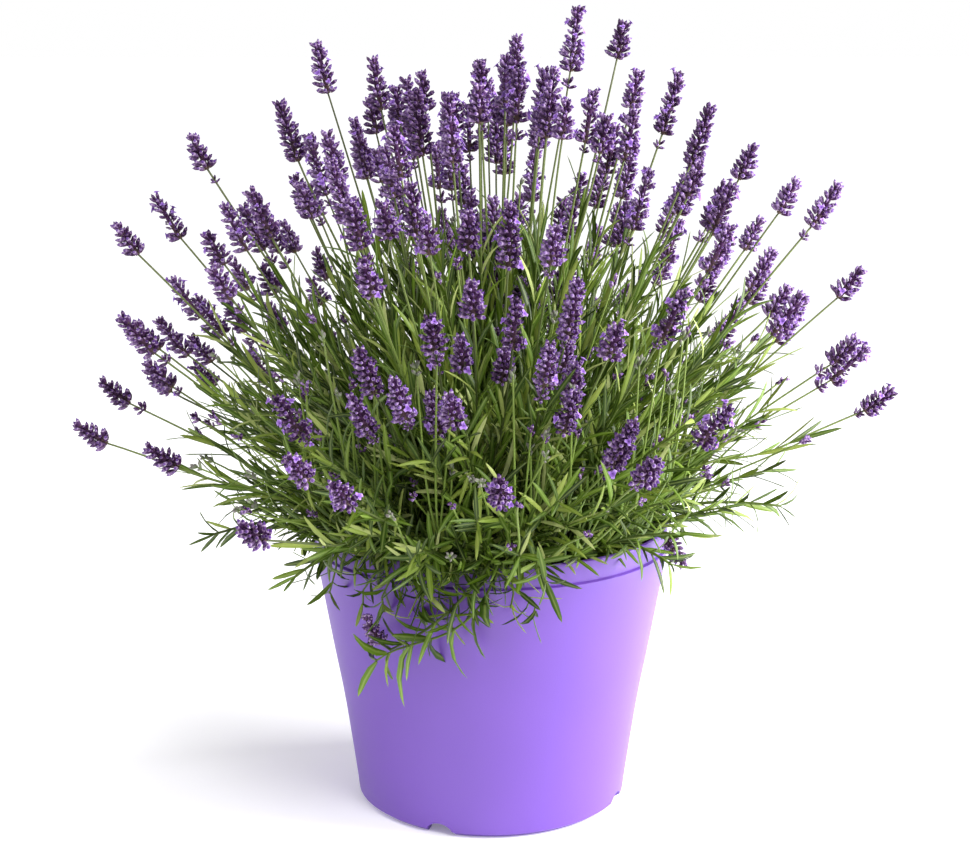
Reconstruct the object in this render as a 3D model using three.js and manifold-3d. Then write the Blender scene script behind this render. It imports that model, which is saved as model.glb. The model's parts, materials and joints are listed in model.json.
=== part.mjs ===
// Potted lavender: a tapered plastic pot, its potting soil, flowering branches and leafy shoots.
// Millimetres, +Z up. The origin is on the pot's axis, at the level that the pot stands on.
// The front is the -Y side.
import * as THREE from "three";
import { mergeVertices } from "three/addons/utils/BufferGeometryUtils.js";
import Module from "manifold-3d";

const wasm = await Module();
wasm.setup();

const DEG = Math.PI / 180;

const pot = {
  sides: 32,
  wall: 2.4,
  footInner: 79,
  footOuter: 84.5,
  floorUnder: 8, // the floor's underside, above the level that the foot stands on
  floorTop: 11,
  rimHeight: 185.5,
  rimOuter: 115.2,
  footBevel: 2,
  floorCorner: 3,
  // outer wall from the foot to the small step under the rim band: radius, height
  wallPoints: [
    [88.4, 3.4],
    [90.6, 21],
    [97.2, 67],
    [104.6, 108],
    [115.6, 171],
  ],
  // the rim band, over its lip to the inside
  rimPoints: [
    [113.8, 171.4],
    [114.8, 184.5],
    [113.8, 185.5],
    [112.2, 185.5],
  ],
  innerBend: 67, // the inside of the wall is straight above and below this height
  notchCount: 4,
  notchBearing: -22, // from the front towards +X
  notchWidth: 19,
  notchHeight: 8,
  drainRadius: 5,
  drainCentre: 64,
};

const soil = { gap: 0.32, radius: 108, edgeHeight: 168, crownHeight: 174, rings: 2, crumb: 1.1 };

// The crown of the plant, from which every flowering branch leaves
const crown = {
  radius: 88, // the circle on the soil that holds the branches
  lowest: 68, // polar angle of the lowest stalk, in degrees from upright
  gather: 0.79, // over 0.5, the stalks stand closer together at the top
  rightLift: 0.15, // share by which the right side stands more upright than the rest
  upright: 0.7, // a stem leaves the soil at this share of its final polar angle
  bendLength: 60, // and the rest of its bend dies out over this length
};

const wood = { count: 28, fewest: 3, peg: 13, length: 24, radius: 2.7 };

const stalk = {
  candidates: 224,
  front: [0.22, 0.61], // from a slight lean to the front to a strong one, as shares of the length
  frontThinning: 0.78, // share of the stalks that the front is short of
  waver: 2.0, // degrees off the even layout
  radius: 1.25,
  topRadius: 1.0, // under the head
  ringRadius: 1.5, // distance from the branch's line at which the stalks leave the wood
  partTo: 115, // the stalks of a branch have parted at this length
  reachUp: 342, // length of the longest upright stalk
  reachDrop: 136, // less than that at the lowest polar angle
  share: [0.8, 0.92], // the shortest and the longest stalk's share of that reach
  firstJoint: [48, 66], // lengths at which the stem has its joints
  secondJoint: [98, 150],
  bareUnderHead: 16, // no joint as close to the head as this
  tries: 10, // a stalk whose head has no room is shortened up to this many times
  shorten: [0.9, 1.02],
};

const head = {
  whorls: [1.8, 4.3],
  fewerLow: 1, // whorls that the lowest heads are short of
  innerRadius: 2.6,
  outerRadius: [7.2, 9.2],
  whorlStep: 8.6,
  whorlRise: 0.74, // from a whorl's inner ring to its outer one, as a share of the step
  tipLength: 6.5,
  remoteShare: 0.26, // share of stalks that bear one whorl by itself under the head
  remoteDrop: 13,
  remoteHeight: 0.9, // of a step
  remoteSize: 0.75,
  taper: 0.34, // share by which the top whorl is smaller
};

const leaf = { width: 4.6, thick: 0.8, widest: 0.46, bow: 0.05, baseHeight: 1.3 };
const branchLeaves = { length: [28, 42], lean: 20, fifths: 2 };
const shootLeaves = { length: [24, 34], lean: 44 };
const otherLeans = [0, 10, -8]; // a leaf that has no room at its lean tries these changes to it

// Room kept around what is placed
const room = { stalk: 1.4, shoot: 1.6, leaf: 1.3, leafRoot: 2, leafEnd: 1, potToLeaf: 1.6, sampleStep: 4 };

const shoots = {
  count: 12,
  rootRadius: 86,
  leave: 27, // polar angle at the soil
  droop: [100, 122], // polar angle far out
  bendLength: 60,
  reach: [84, 122],
  peg: 11,
  length: 6, // the foot's, above the soil
  radius: 1.9,
  topRadius: 1.2,
  leafFrom: 42,
  leafStep: 22,
  endLeaf: 12, // length of the leaf at the end
  shift: 0.05, // a shoot that meets a branch is turned on by this angle
};

// Two low shoots that hang over the rim and end in a small head, by their routes
const trailing = [
  [
    [6, -84, 170],
    [5, -101, 190],
    [1, -119, 193],
    [-10, -128, 179],
    [-30, -124, 157],
    [-52, -115, 139],
    [-65, -110, 134],
    [-75, -107, 157],
  ],
  [
    [76, -44, 170],
    [88, -50, 189],
    [101, -57, 195],
    [109, -61, 189],
    [119, -64, 168],
  ],
];
const trailingSide = new THREE.Vector3(0.77, 0.64, 0);
const trailingHead = { whorls: 2, whorlStep: 7.6, outerRadius: 6.2, bareUnder: 6 };

// Tips of the longest, the outermost and the lowest stalks
const outermost = [
  [55, 10, 513], [85, 30, 503], [-112, 8, 490], [-75, -10, 481], [-19, 6, 491],
  [16, -10, 495], [-140, 30, 453], [-192, 5, 432], [-224, 40, 389], [-240, -6, 376],
  [-237, -30, 319], [-257, 10, 270], [-268, -20, 247], [-216, -60, 241], [93, 0, 473],
  [123, 30, 471], [141, 0, 452], [170, 20, 425], [192, -20, 406], [223, 0, 401],
  [237, -10, 348], [250, 20, 290], [269, 30, 260],
];

// Tips of the foremost stalks
const foremost = [
  [-72, -163, 373], [-83, -128, 404], [-62, -152, 405], [-48, -126, 413], [-38, -148, 396],
  [-14, -155, 399], [-24, -164, 379], [-12, -163, 361], [9, -165, 380], [13, -166, 350],
  [-35, -168, 342], [-75, -178, 323], [-42, -164, 319], [-56, -179, 307], [-24, -177, 299],
  [-79, -179, 297], [33, -175, 327], [59, -165, 346], [49, -163, 361], [60, -158, 385],
  [35, -159, 391], [10, -160, 404], [47, -167, 298], [71, -170, 338], [-123, -168, 293],
  [-85, -232, 260], [4, -226, 261], [109, -149, 352], [130, -196, 293], [79, -200, 284],
  [88, -222, 271], [-109, -226, 273], [-131, -253, 242],
];

// Repeatable draws between 0 and 1
function makeDraw(seed) {
  let state = seed;
  return () => {
    state = (state * 16807) % 2147483647;
    return state / 2147483647;
  };
}
const between = (draw, [low, high]) => low + (high - low) * draw();
const smooth = (t) => {
  const c = Math.min(1, Math.max(0, t));
  return c * c * (3 - 2 * c);
};
const vec = (x, y, z) => new THREE.Vector3(x, y, z);
const directionAt = (polar, bearing) =>
  vec(Math.sin(polar) * Math.cos(bearing), Math.sin(polar) * Math.sin(bearing), Math.cos(polar));

const soilLevel = (radius) =>
  soil.crownHeight - (soil.crownHeight - soil.edgeHeight) * (radius / soil.radius) ** 2;

// A stem's line: where it is at a length s from the soil, and a direction across it. It leaves the soil at
// one polar angle and bends to another.
function stemLine({ bearing, rootRadius, leave, arrive, bendLength }) {
  const first = directionAt(leave, bearing);
  const last = directionAt(arrive, bearing);
  const root = directionAt(Math.PI / 2, bearing).multiplyScalar(rootRadius).setZ(soilLevel(rootRadius));
  const turn = first.clone().sub(last);
  const at = (s) => {
    if (s <= 0) return root.clone().addScaledVector(first, s);
    const bent = bendLength * (1 - Math.exp(-s / bendLength));
    return root.clone().addScaledVector(last, s).addScaledVector(turn, bent);
  };
  return { at, side: vec(-Math.sin(bearing), Math.cos(bearing), 0) };
}

// The line of a stem of the crown that ends up in the direction given
function crownLine(direction) {
  const polar = Math.acos(Math.min(1, Math.max(-1, direction.z)));
  return stemLine({
    bearing: Math.atan2(direction.y, direction.x),
    rootRadius: (crown.radius * polar) / (crown.lowest * DEG),
    leave: polar * crown.upright,
    arrive: polar,
    bendLength: crown.bendLength,
  });
}

// Tangent of a line at a length, and the two directions across it
function frameAt(line, s) {
  const along = line.at(s + 1).sub(line.at(s - 1)).normalize();
  const side = line.side.clone().addScaledVector(along, -line.side.dot(along)).normalize();
  return { at: line.at(s), along, side, up: along.clone().cross(side) };
}

const acrossAt = ({ side, up }, angle) =>
  side.clone().multiplyScalar(Math.cos(angle)).addScaledVector(up, Math.sin(angle));

// Even directions over the dome, by the golden angle
function spread(count) {
  const golden = Math.PI * (3 - Math.sqrt(5));
  return Array.from({ length: count }, (_, k) => {
    const bearing = k * golden;
    const stoop = 1 - crown.rightLift * Math.max(0, Math.cos(bearing)) ** 2;
    return directionAt(crown.lowest * DEG * stoop * ((k + 0.5) / count) ** crown.gather, bearing);
  });
}

// Turns a direction by an angle, towards the side given
function turned(direction, angle, side) {
  const across = vec(-direction.y, direction.x, 0).normalize();
  const frame = { side: across, up: direction.clone().cross(across) };
  return direction
    .clone()
    .multiplyScalar(Math.cos(angle))
    .addScaledVector(acrossAt(frame, side), Math.sin(angle));
}

// Direction and length of the crown stem whose tip is at a point
function aimAt(tip) {
  const centre = vec(0, 0, soil.crownHeight);
  const direction = tip.clone().sub(centre).normalize();
  let length = tip.distanceTo(centre);
  for (let turn = 0; turn < 20; turn++) {
    const miss = tip.clone().sub(crownLine(direction).at(length));
    length += miss.dot(direction);
    direction.addScaledVector(miss, 0.7 / length).normalize();
  }
  return { direction, length };
}

// Every stalk: where it points, how long it is, and what its head is like
function layOutStalks() {
  const draw = makeDraw(20260);
  const made = [];
  for (const even of spread(stalk.candidates)) {
    const direction = turned(even, stalk.waver * DEG * draw(), 2 * Math.PI * draw());
    const [slight, strong] = stalk.front;
    const front = smooth((-direction.y - slight) / (strong - slight));
    const thinned = draw() < stalk.frontThinning * front;
    const [shortest, longest] = stalk.share;
    const share = Math.min(longest, shortest + (1 - shortest) * Math.sqrt(draw()));
    const low = Math.acos(direction.z) / (crown.lowest * DEG);
    const one = {
      direction,
      length: (stalk.reachUp - stalk.reachDrop * low) * share,
      whorls: Math.max(2, Math.round(between(draw, head.whorls) - head.fewerLow * low)),
      outerRadius: between(draw, head.outerRadius),
      whorlStep: head.whorlStep,
      remote: draw() < head.remoteShare,
    };
    if (!thinned) made.push(one);
  }
  const placed = new Set();
  for (const point of [...outermost, ...foremost]) {
    const aim = aimAt(vec(...point));
    const free = made.filter((one) => !placed.has(one));
    const nearness = (one) => one.direction.dot(aim.direction);
    const nearest = free.reduce((best, one) => (nearness(one) > nearness(best) ? one : best));
    Object.assign(nearest, aim);
    placed.add(nearest);
  }
  return made;
}

// Gathers the stalks into branches: each belongs to the branch whose direction is nearest to its own.
function layOutBranches() {
  const made = spread(wood.count).map((direction) => ({ direction, line: crownLine(direction), stalks: [] }));
  for (const one of layOutStalks()) {
    const nearness = (branch) => branch.direction.dot(one.direction);
    made.reduce((best, branch) => (nearness(branch) > nearness(best) ? branch : best)).stalks.push(one);
  }
  for (const branch of made) fillUp(branch, made);
  for (const branch of made) {
    const frame = frameAt(branch.line, stalk.reachUp);
    const sideOf = (one) => Math.atan2(one.direction.dot(frame.up), one.direction.dot(frame.side));
    branch.stalks.sort((a, b) => sideOf(a) - sideOf(b));
    const share = (2 * Math.PI) / branch.stalks.length;
    branch.turn = sideOf(branch.stalks[0]) - share / 2;
    branch.stalks.forEach((one, i) => {
      const angle = branch.turn + (i + 0.5) * share;
      one.line = stalkLine(branch.line, crownLine(one.direction), angle);
      one.turn = angle + Math.PI;
    });
  }
  return made;
}

// A branch with too few stalks for its foot takes the nearest ones of branches that can spare them.
function fillUp(branch, made) {
  while (branch.stalks.length < wood.fewest) {
    const givers = made.filter((other) => other.stalks.length > wood.fewest + 1);
    const offered = givers.flatMap((giver) => giver.stalks.map((one) => ({ giver, one })));
    const nearness = ({ one }) => branch.direction.dot(one.direction);
    const { giver, one } = offered.reduce((best, next) => (nearness(next) > nearness(best) ? next : best));
    giver.stalks.splice(giver.stalks.indexOf(one), 1);
    branch.stalks.push(one);
  }
}

// A stalk runs beside its branch's line at first, and then by itself.
function stalkLine(branchLine, ownLine, angle) {
  const at = (s) => {
    const share = smooth((s - wood.length) / (stalk.partTo - wood.length));
    const beside = acrossAt(frameAt(branchLine, s), angle).multiplyScalar(stalk.ringRadius);
    return branchLine.at(s).add(beside).lerp(ownLine.at(s), share);
  };
  return { at, side: branchLine.side };
}

// The straight stretches between a line's places at the lengths given
function stretches(line, lengths) {
  const at = (s) => {
    const next = Math.max(1, lengths.findIndex((length) => length >= s));
    const low = lengths[next - 1];
    return line.at(low).lerp(line.at(lengths[next]), (s - low) / (lengths[next] - low));
  };
  return { at, side: line.side };
}

// Corners around a line at a length, pushed on along it by a rise
function ringOn(line, s, radius, turn = 0, { sides = 3, rise = 0 } = {}) {
  const frame = frameAt(line, s);
  return Array.from({ length: sides }, (_, i) =>
    frame.at
      .clone()
      .addScaledVector(frame.along, rise)
      .addScaledVector(acrossAt(frame, turn + (i * 2 * Math.PI) / sides), radius),
  );
}

// The skin of a tube through rings of corners. A ring of one corner draws it to a point. A limb grows out
// of the side of the tube after a ring: { ring, side, rings }.
function tube(rings, { limbs = [], closed = true } = {}) {
  const faces = [];
  const cap = (ring) => {
    for (let i = 1; i + 1 < ring.length; i++) faces.push([ring[0], ring[i], ring[i + 1]]);
  };
  if (closed) cap(rings[0].toReversed());
  for (let r = 0; r + 1 < rings.length; r++) {
    const low = rings[r];
    const high = rings[r + 1];
    const count = Math.max(low.length, high.length);
    for (let i = 0; i < count; i++) {
      const j = (i + 1) % count;
      const limb = limbs.find((one) => one.ring === r && one.side === i);
      if (limb) faces.push(...tube([[low[i], low[j], high[j], high[i]], ...limb.rings], { closed: false }));
      else {
        if (low.length > 1) faces.push([low[i], low[j], high[i % high.length]]);
        if (high.length > 1) faces.push([high[i], low[j % low.length], high[j]]);
      }
    }
  }
  cap(rings.at(-1));
  return faces;
}

function skin(faces) {
  const position = faces.flat().flatMap((corner) => corner.toArray());
  return new THREE.BufferGeometry().setAttribute("position", new THREE.Float32BufferAttribute(position, 3));
}

// A narrow blade that leans out of a side of a stem: its shape from its middle on, and the points it passes
function blade(line, s, side, turn, { length, lean }) {
  const frame = frameAt(line, s);
  const out = acrossAt(frame, turn + ((side + 0.5) * 2 * Math.PI) / 3);
  const along = frame.along.clone().multiplyScalar(Math.cos(lean)).addScaledVector(out, Math.sin(lean));
  const across = frame.along.clone().cross(out);
  const face = along.clone().cross(across);
  const middle = frame.at.clone().addScaledVector(along, leaf.widest * length);
  middle.addScaledVector(face, leaf.bow * length);
  const tip = frame.at.clone().addScaledVector(along, length);
  const corner = (x, y) => middle.clone().addScaledVector(across, x / 2).addScaledVector(face, y / 2);
  const section = [
    corner(-leaf.width, -leaf.thick),
    corner(leaf.width, -leaf.thick),
    corner(leaf.width, leaf.thick),
    corner(-leaf.width, leaf.thick),
  ];
  const outer = [section[0], section[1], middle, ...betweenPoints(middle, tip, 4)];
  return { rings: [section, [tip]], inner: betweenPoints(frame.at, middle, 3), outer };
}

function betweenPoints(a, b, count) {
  return Array.from({ length: count }, (_, i) => a.clone().lerp(b, (i + 1) / count));
}

// What stands where: points with a radius around them, each with the name of its owner
const taken = [];
function take(owner, points, radius) {
  for (const point of points) taken.push({ owner, point, radius });
}
function isFree(owner, points, radius) {
  return points.every((point) =>
    taken.every((other) => other.owner === owner || other.point.distanceTo(point) > other.radius + radius),
  );
}
function samples(line, from, to) {
  const count = Math.ceil((to - from) / room.sampleStep);
  return Array.from({ length: count + 1 }, (_, i) => line.at(from + ((to - from) * i) / count));
}

// Clear of the pot and the soil
function isOutside(point, margin) {
  const radius = Math.hypot(point.x, point.y);
  if (point.z > pot.rimHeight + margin) return true;
  if (radius > pot.rimOuter + margin) return true;
  return radius < innerRadius(soil.edgeHeight) - margin && point.z > soil.crownHeight + margin;
}

// The leaves of a joint in a stem, one on each side where there is room
function growLeaves(owner, line, s, turn, shape, draw) {
  const grown = [];
  for (let side = 0; side < 3; side++) {
    const length = between(draw, shape.length);
    for (const extraLean of otherLeans) {
      const made = blade(line, s, side, turn, { length, lean: (shape.lean + extraLean) * DEG });
      const clearOfPot = made.outer.every((point) => isOutside(point, room.potToLeaf));
      const clearOfStems = isFree(owner, made.inner, room.leafRoot) && isFree(null, made.outer, room.leafEnd);
      if (!clearOfPot || !clearOfStems) continue;
      take(owner, [...made.inner, ...made.outer], room.leaf);
      grown.push({ side, rings: made.rings });
      break;
    }
  }
  return grown;
}

const headStart = (one) => one.length - one.whorls * one.whorlStep - head.tipLength;
const stemEnd = (one) => headStart(one) - (one.remote ? head.remoteDrop : 0);

// A flowering stem: joints that turn and may bear leaves, and then the head. The stem's corners run on into
// the florets of the whorls, each whorl turned on by half a floret from the one below it.
function floweringTube(owner, one, start, joints, leafShape, draw) {
  const rings = [start];
  const limbs = [];
  let turn = one.turn;
  const ring = (s, radius, rise = 0) => rings.push(ringOn(one.line, s, radius, turn, { rise }));
  const whorl = (s, inner, outer) => {
    ring(s, inner);
    turn += Math.PI / 3;
    ring(s, outer, head.whorlRise * one.whorlStep);
  };
  for (const { s, leafy, radius } of joints) {
    ring(s, radius);
    if (!leafy) continue;
    for (const limb of growLeaves(owner, one.line, s, turn, leafShape, draw))
      limbs.push({ ...limb, ring: rings.length - 1 });
    ring(s + leaf.baseHeight, radius);
  }
  if (one.remote) {
    whorl(stemEnd(one), stalk.topRadius, one.outerRadius * head.remoteSize);
    ring(stemEnd(one) + head.remoteHeight * one.whorlStep, stalk.topRadius);
  }
  for (let w = 0; w < one.whorls; w++) {
    const inner = w === 0 ? stalk.topRadius : head.innerRadius;
    const taper = 1 - head.taper * (w / one.whorls) ** 2;
    whorl(headStart(one) + w * one.whorlStep, inner, one.outerRadius * taper);
  }
  rings.push([one.line.at(one.length)]);
  return tube(rings, { limbs, closed: false });
}

// Solids for joining and cutting
function solidOf(geometry) {
  const bare = new THREE.BufferGeometry();
  bare.setAttribute("position", geometry.getAttribute("position"));
  bare.setIndex(geometry.getIndex());
  const merged = mergeVertices(bare, 1e-4);
  return new wasm.Manifold(
    new wasm.Mesh({
      numProp: 3,
      vertProperties: merged.getAttribute("position").array,
      triVerts: new Uint32Array(merged.getIndex().array),
    }),
  );
}

// The outer wall's radius at a height
function wallRadius(z) {
  const above = pot.wallPoints.findIndex(([, height]) => height >= z);
  if (above < 1) return pot.wallPoints.at(above)[0];
  const [r0, z0] = pot.wallPoints[above - 1];
  const [r1, z1] = pot.wallPoints[above];
  return r0 + ((r1 - r0) * (z - z0)) / (z1 - z0);
}
const innerRadius = (z) => wallRadius(z) - pot.wall;

function potSolid() {
  const outline = [
    [0, pot.floorUnder],
    [pot.footInner - pot.footBevel, pot.floorUnder],
    [pot.footInner, 0],
    [pot.footOuter, 0],
    ...pot.wallPoints,
    ...pot.rimPoints,
    [innerRadius(soil.edgeHeight), soil.edgeHeight],
    [innerRadius(pot.innerBend), pot.innerBend],
    [innerRadius(pot.floorTop) - pot.floorCorner, pot.floorTop],
    [0, pot.floorTop],
  ];
  const profile = outline.map(([r, z]) => new THREE.Vector2(r, z));
  let solid = solidOf(new THREE.LatheGeometry(profile, pot.sides).rotateX(Math.PI / 2));
  for (let n = 0; n < pot.notchCount; n++) {
    const bearing = (pot.notchBearing + (n * 360) / pot.notchCount) * DEG;
    solid = solid.subtract(solidOf(notch(bearing))).subtract(solidOf(drain(bearing)));
  }
  return solid;
}

// An arched notch through the foot, so that water runs out from under the pot
function notch(bearing) {
  const half = pot.notchWidth / 2;
  const outline = new THREE.Shape();
  outline.moveTo(-half, -1);
  outline.bezierCurveTo(-half * 0.8, 1, -half * 0.9, pot.notchHeight, 0, pot.notchHeight);
  outline.bezierCurveTo(half * 0.9, pot.notchHeight, half * 0.8, 1, half, -1);
  outline.closePath();
  const made = new THREE.ExtrudeGeometry(outline, { depth: 18, bevelEnabled: false, curveSegments: 3 });
  return made.rotateX(Math.PI / 2).translate(0, -pot.footInner + 6, 0).rotateZ(bearing);
}

function drain(bearing) {
  const made = new THREE.CylinderGeometry(pot.drainRadius, pot.drainRadius, 12, 8).rotateX(Math.PI / 2);
  return made.translate(0, -pot.drainCentre, pot.floorTop).rotateZ(bearing);
}

// The soil fills the pot from its floor to a crumbly top, and has a plain hole for each stem.
function soilSolid(holes) {
  const ring = (radius, height) =>
    Array.from({ length: pot.sides }, (_, i) => {
      const angle = (i * 2 * Math.PI) / pot.sides;
      return vec(radius * Math.cos(angle), radius * Math.sin(angle), height(angle));
    });
  const wallRing = (radius, z) => ring(radius - soil.gap / Math.cos(Math.PI / pot.sides), () => z);
  const rings = [[vec(0, 0, pot.floorTop + soil.gap)]];
  rings.push(wallRing(innerRadius(pot.floorTop) - pot.floorCorner, pot.floorTop + soil.gap));
  for (const z of [pot.innerBend, soil.edgeHeight]) rings.push(wallRing(innerRadius(z), z));
  for (let r = soil.rings - 1; r > 0; r--) {
    const radius = (soil.radius * r) / soil.rings;
    const crumb = (a) => soil.crumb * (Math.sin(5 * a + 2.1 * r) + Math.cos(9 * a - 1.3 * r));
    rings.push(ring(radius, (angle) => soilLevel(radius) + crumb(angle)));
  }
  rings.push([vec(0, 0, soil.crownHeight)]);
  return holes.reduce((whole, hole) => whole.subtract(solidOf(skin(tube(hole)))), solidOf(skin(tube(rings))));
}

// A stem's foot, from its end in the soil to where the stem grows on from it
function footRings(line, { peg, length, radius }, { sides = 3, turn = 0, gap = 0 } = {}) {
  const wide = radius + gap / Math.cos(Math.PI / sides);
  return [-peg - gap, length].map((s) => ringOn(line, s, wide, turn, { sides }));
}

const finish = (color, roughness) => new THREE.MeshStandardMaterial({ color, roughness, metalness: 0 });
const potPlastic = finish(0x8a5fd0, 0.38);
const darkSoil = finish(0x33261c, 0.95);
const violetBloom = finish(0x5a3a92, 0.8);
const greenLeaf = finish(0x6f8f45, 0.75);

const plant = new THREE.Group();
plant.name = "potted_lavender";
function place(name, solid, material) {
  const { vertProperties, triVerts } = solid.getMesh();
  const geometry = new THREE.BufferGeometry();
  geometry.setAttribute("position", new THREE.BufferAttribute(vertProperties, 3));
  geometry.setIndex(new THREE.BufferAttribute(triVerts, 1));
  geometry.computeVertexNormals();
  const mesh = new THREE.Mesh(geometry, material);
  mesh.name = name;
  plant.add(mesh);
}
const numbered = (word, n) => `${word}_${String(n + 1).padStart(2, "0")}`;

// Every stem takes its room first, then the leaves find theirs.
const branches = layOutBranches();
const drawStalk = makeDraw(5150);
branches.forEach((branch, k) => {
  branch.name = numbered("flowering_branch", k);
  take(branch.name, samples(branch.line, 0, wood.length), wood.radius);
  branch.stalks.forEach((one, i) => {
    one.owner = `${branch.name} ${i}`;
    for (let tries = 0; tries < stalk.tries; tries++) {
      if (isFree(null, samples(one.line, stemEnd(one), one.length), one.outerRadius)) break;
      one.length *= between(drawStalk, stalk.shorten);
    }
    one.joints = [between(drawStalk, stalk.firstJoint), between(drawStalk, stalk.secondJoint)];
    one.joints = one.joints.filter((s) => s < stemEnd(one) - stalk.bareUnderHead);
    const built = stretches(one.line, [wood.length, ...one.joints, stemEnd(one), one.length]);
    take(one.owner, samples(built, wood.length, stemEnd(one)), room.stalk);
    take(one.owner, samples(one.line, stemEnd(one), one.length), one.outerRadius);
  });
});

const drawShoot = makeDraw(777);
const leafyShoots = Array.from({ length: shoots.count }, (_, n) => {
  const name = numbered("leafy_shoot", n);
  const evenly = ((n + 0.5 + 0.3 * (drawShoot() - 0.5)) * 2 * Math.PI) / shoots.count;
  const length = between(drawShoot, shoots.reach);
  const arrive = between(drawShoot, shoots.droop) * DEG;
  for (let bearing = evenly; ; bearing += shoots.shift) {
    const line = stemLine({ ...shoots, bearing, leave: shoots.leave * DEG, arrive });
    const whole = samples(line, 0, length + shoots.endLeaf);
    if (isFree(name, whole, room.leafRoot)) return { name, line, length };
  }
});
const hanging = trailing.map((route, n) => {
  const curve = new THREE.CatmullRomCurve3(route.map((p) => vec(...p)), false, "catmullrom", 0.5);
  const length = curve.getLength();
  const first = curve.getTangentAt(0);
  const at = (s) => {
    if (s <= 0) return curve.getPointAt(0).addScaledVector(first, s);
    return curve.getPointAt(Math.min(1, s / length));
  };
  return { name: numbered("trailing_shoot", n), line: { at, side: trailingSide }, length };
});
for (const { name, line, length } of [...leafyShoots, ...hanging])
  take(name, samples(line, 0, length), room.shoot);

place("pot", potSolid(), potPlastic);
const { gap } = soil;
const branchHoles = branches.map(({ line, turn, stalks }) =>
  footRings(line, wood, { sides: stalks.length, turn, gap }),
);
const shootHoles = [...leafyShoots, ...hanging].map(({ line }) => footRings(line, shoots, { gap }));
place("soil", soilSolid([...branchHoles, ...shootHoles]), darkSoil);

// A branch: its woody foot, whose end is shared out between the stalks
const drawLeaf = makeDraw(4242);
branches.forEach((branch, k) => {
  const [low, top] = footRings(branch.line, wood, { sides: branch.stalks.length, turn: branch.turn });
  const centre = top.reduce((sum, corner) => sum.add(corner), vec(0, 0, 0)).divideScalar(top.length);
  const faces = tube([low, top]).slice(0, -(top.length - 2));
  branch.stalks.forEach((one, i) => {
    const start = [centre, top[i], top[(i + 1) % top.length]];
    const joints = one.joints.map((s, n) => ({
      s,
      radius: stalk.radius,
      leafy: (k + i + n) % 2 === 0 && (3 * k + i) % 5 < branchLeaves.fifths,
    }));
    faces.push(...floweringTube(one.owner, one, start, joints, branchLeaves, drawLeaf));
  });
  place(branch.name, solidOf(skin(faces)), violetBloom);
});

leafyShoots.forEach(({ name, line, length }) => {
  const rings = footRings(line, shoots);
  const limbs = [];
  let turn = 0;
  for (let s = shoots.leafFrom; s < length; s += shoots.leafStep) {
    const radius = shoots.topRadius;
    rings.push(ringOn(line, s, radius, turn));
    const grown = growLeaves(name, line, s, turn, shootLeaves, drawLeaf);
    for (const limb of grown) limbs.push({ ...limb, ring: rings.length - 1 });
    rings.push(ringOn(line, s + leaf.baseHeight, radius, turn));
    turn += Math.PI / 3;
  }
  rings.push([line.at(length + shoots.endLeaf)]);
  place(name, solidOf(skin(tube(rings, { limbs }))), greenLeaf);
});

hanging.forEach(({ name, line, length }) => {
  const bloom = { line, length, ...trailingHead, turn: 0, remote: false };
  const [low, top] = footRings(line, shoots);
  const joints = [];
  for (let s = shoots.leafFrom / 2; s < headStart(bloom) - trailingHead.bareUnder; s += shoots.leafStep / 2)
    joints.push({ s, radius: shoots.topRadius, leafy: joints.length % 2 === 1 });
  const faces = tube([low, top]).slice(0, -1);
  faces.push(...floweringTube(name, bloom, top, joints, shootLeaves, drawLeaf));
  place(name, solidOf(skin(faces)), violetBloom);
});

export default plant;
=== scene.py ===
import json
import math

import bpy
import numpy as np
from mathutils import Matrix, Vector

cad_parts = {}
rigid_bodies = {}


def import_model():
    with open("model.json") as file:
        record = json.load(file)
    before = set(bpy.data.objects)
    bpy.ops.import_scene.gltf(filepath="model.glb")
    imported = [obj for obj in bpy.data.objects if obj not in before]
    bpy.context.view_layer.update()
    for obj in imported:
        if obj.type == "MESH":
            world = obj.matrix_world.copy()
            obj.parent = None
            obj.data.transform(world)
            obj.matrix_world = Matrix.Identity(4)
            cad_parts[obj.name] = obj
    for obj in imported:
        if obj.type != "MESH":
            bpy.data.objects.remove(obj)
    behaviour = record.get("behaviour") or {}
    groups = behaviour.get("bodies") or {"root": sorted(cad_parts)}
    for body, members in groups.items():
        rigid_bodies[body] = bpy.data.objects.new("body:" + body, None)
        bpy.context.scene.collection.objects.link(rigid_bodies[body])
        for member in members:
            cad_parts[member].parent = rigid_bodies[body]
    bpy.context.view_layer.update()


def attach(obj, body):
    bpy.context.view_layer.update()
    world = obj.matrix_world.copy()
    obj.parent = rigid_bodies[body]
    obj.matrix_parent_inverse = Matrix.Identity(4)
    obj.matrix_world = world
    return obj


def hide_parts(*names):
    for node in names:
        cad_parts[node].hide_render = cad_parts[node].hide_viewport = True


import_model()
mm = 0.001

# Camera, as the photograph was taken
view = {
    "place": (-0.0041, -1.169, 0.499),
    "pitch": 12.2,  # degrees down
    "focal": 1850,  # in pixels of the photograph
    "imageWidth": 970,
    "sensor": 36.0,
}


def addCamera():
    bpy.ops.object.camera_add(location=view["place"], rotation=(math.radians(90 - view["pitch"]), 0, 0))
    camera = bpy.context.object
    camera.name = "camera"
    camera.data.sensor_width = view["sensor"]
    camera.data.lens = view["sensor"] * view["focal"] / view["imageWidth"]
    bpy.context.scene.camera = camera


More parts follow.
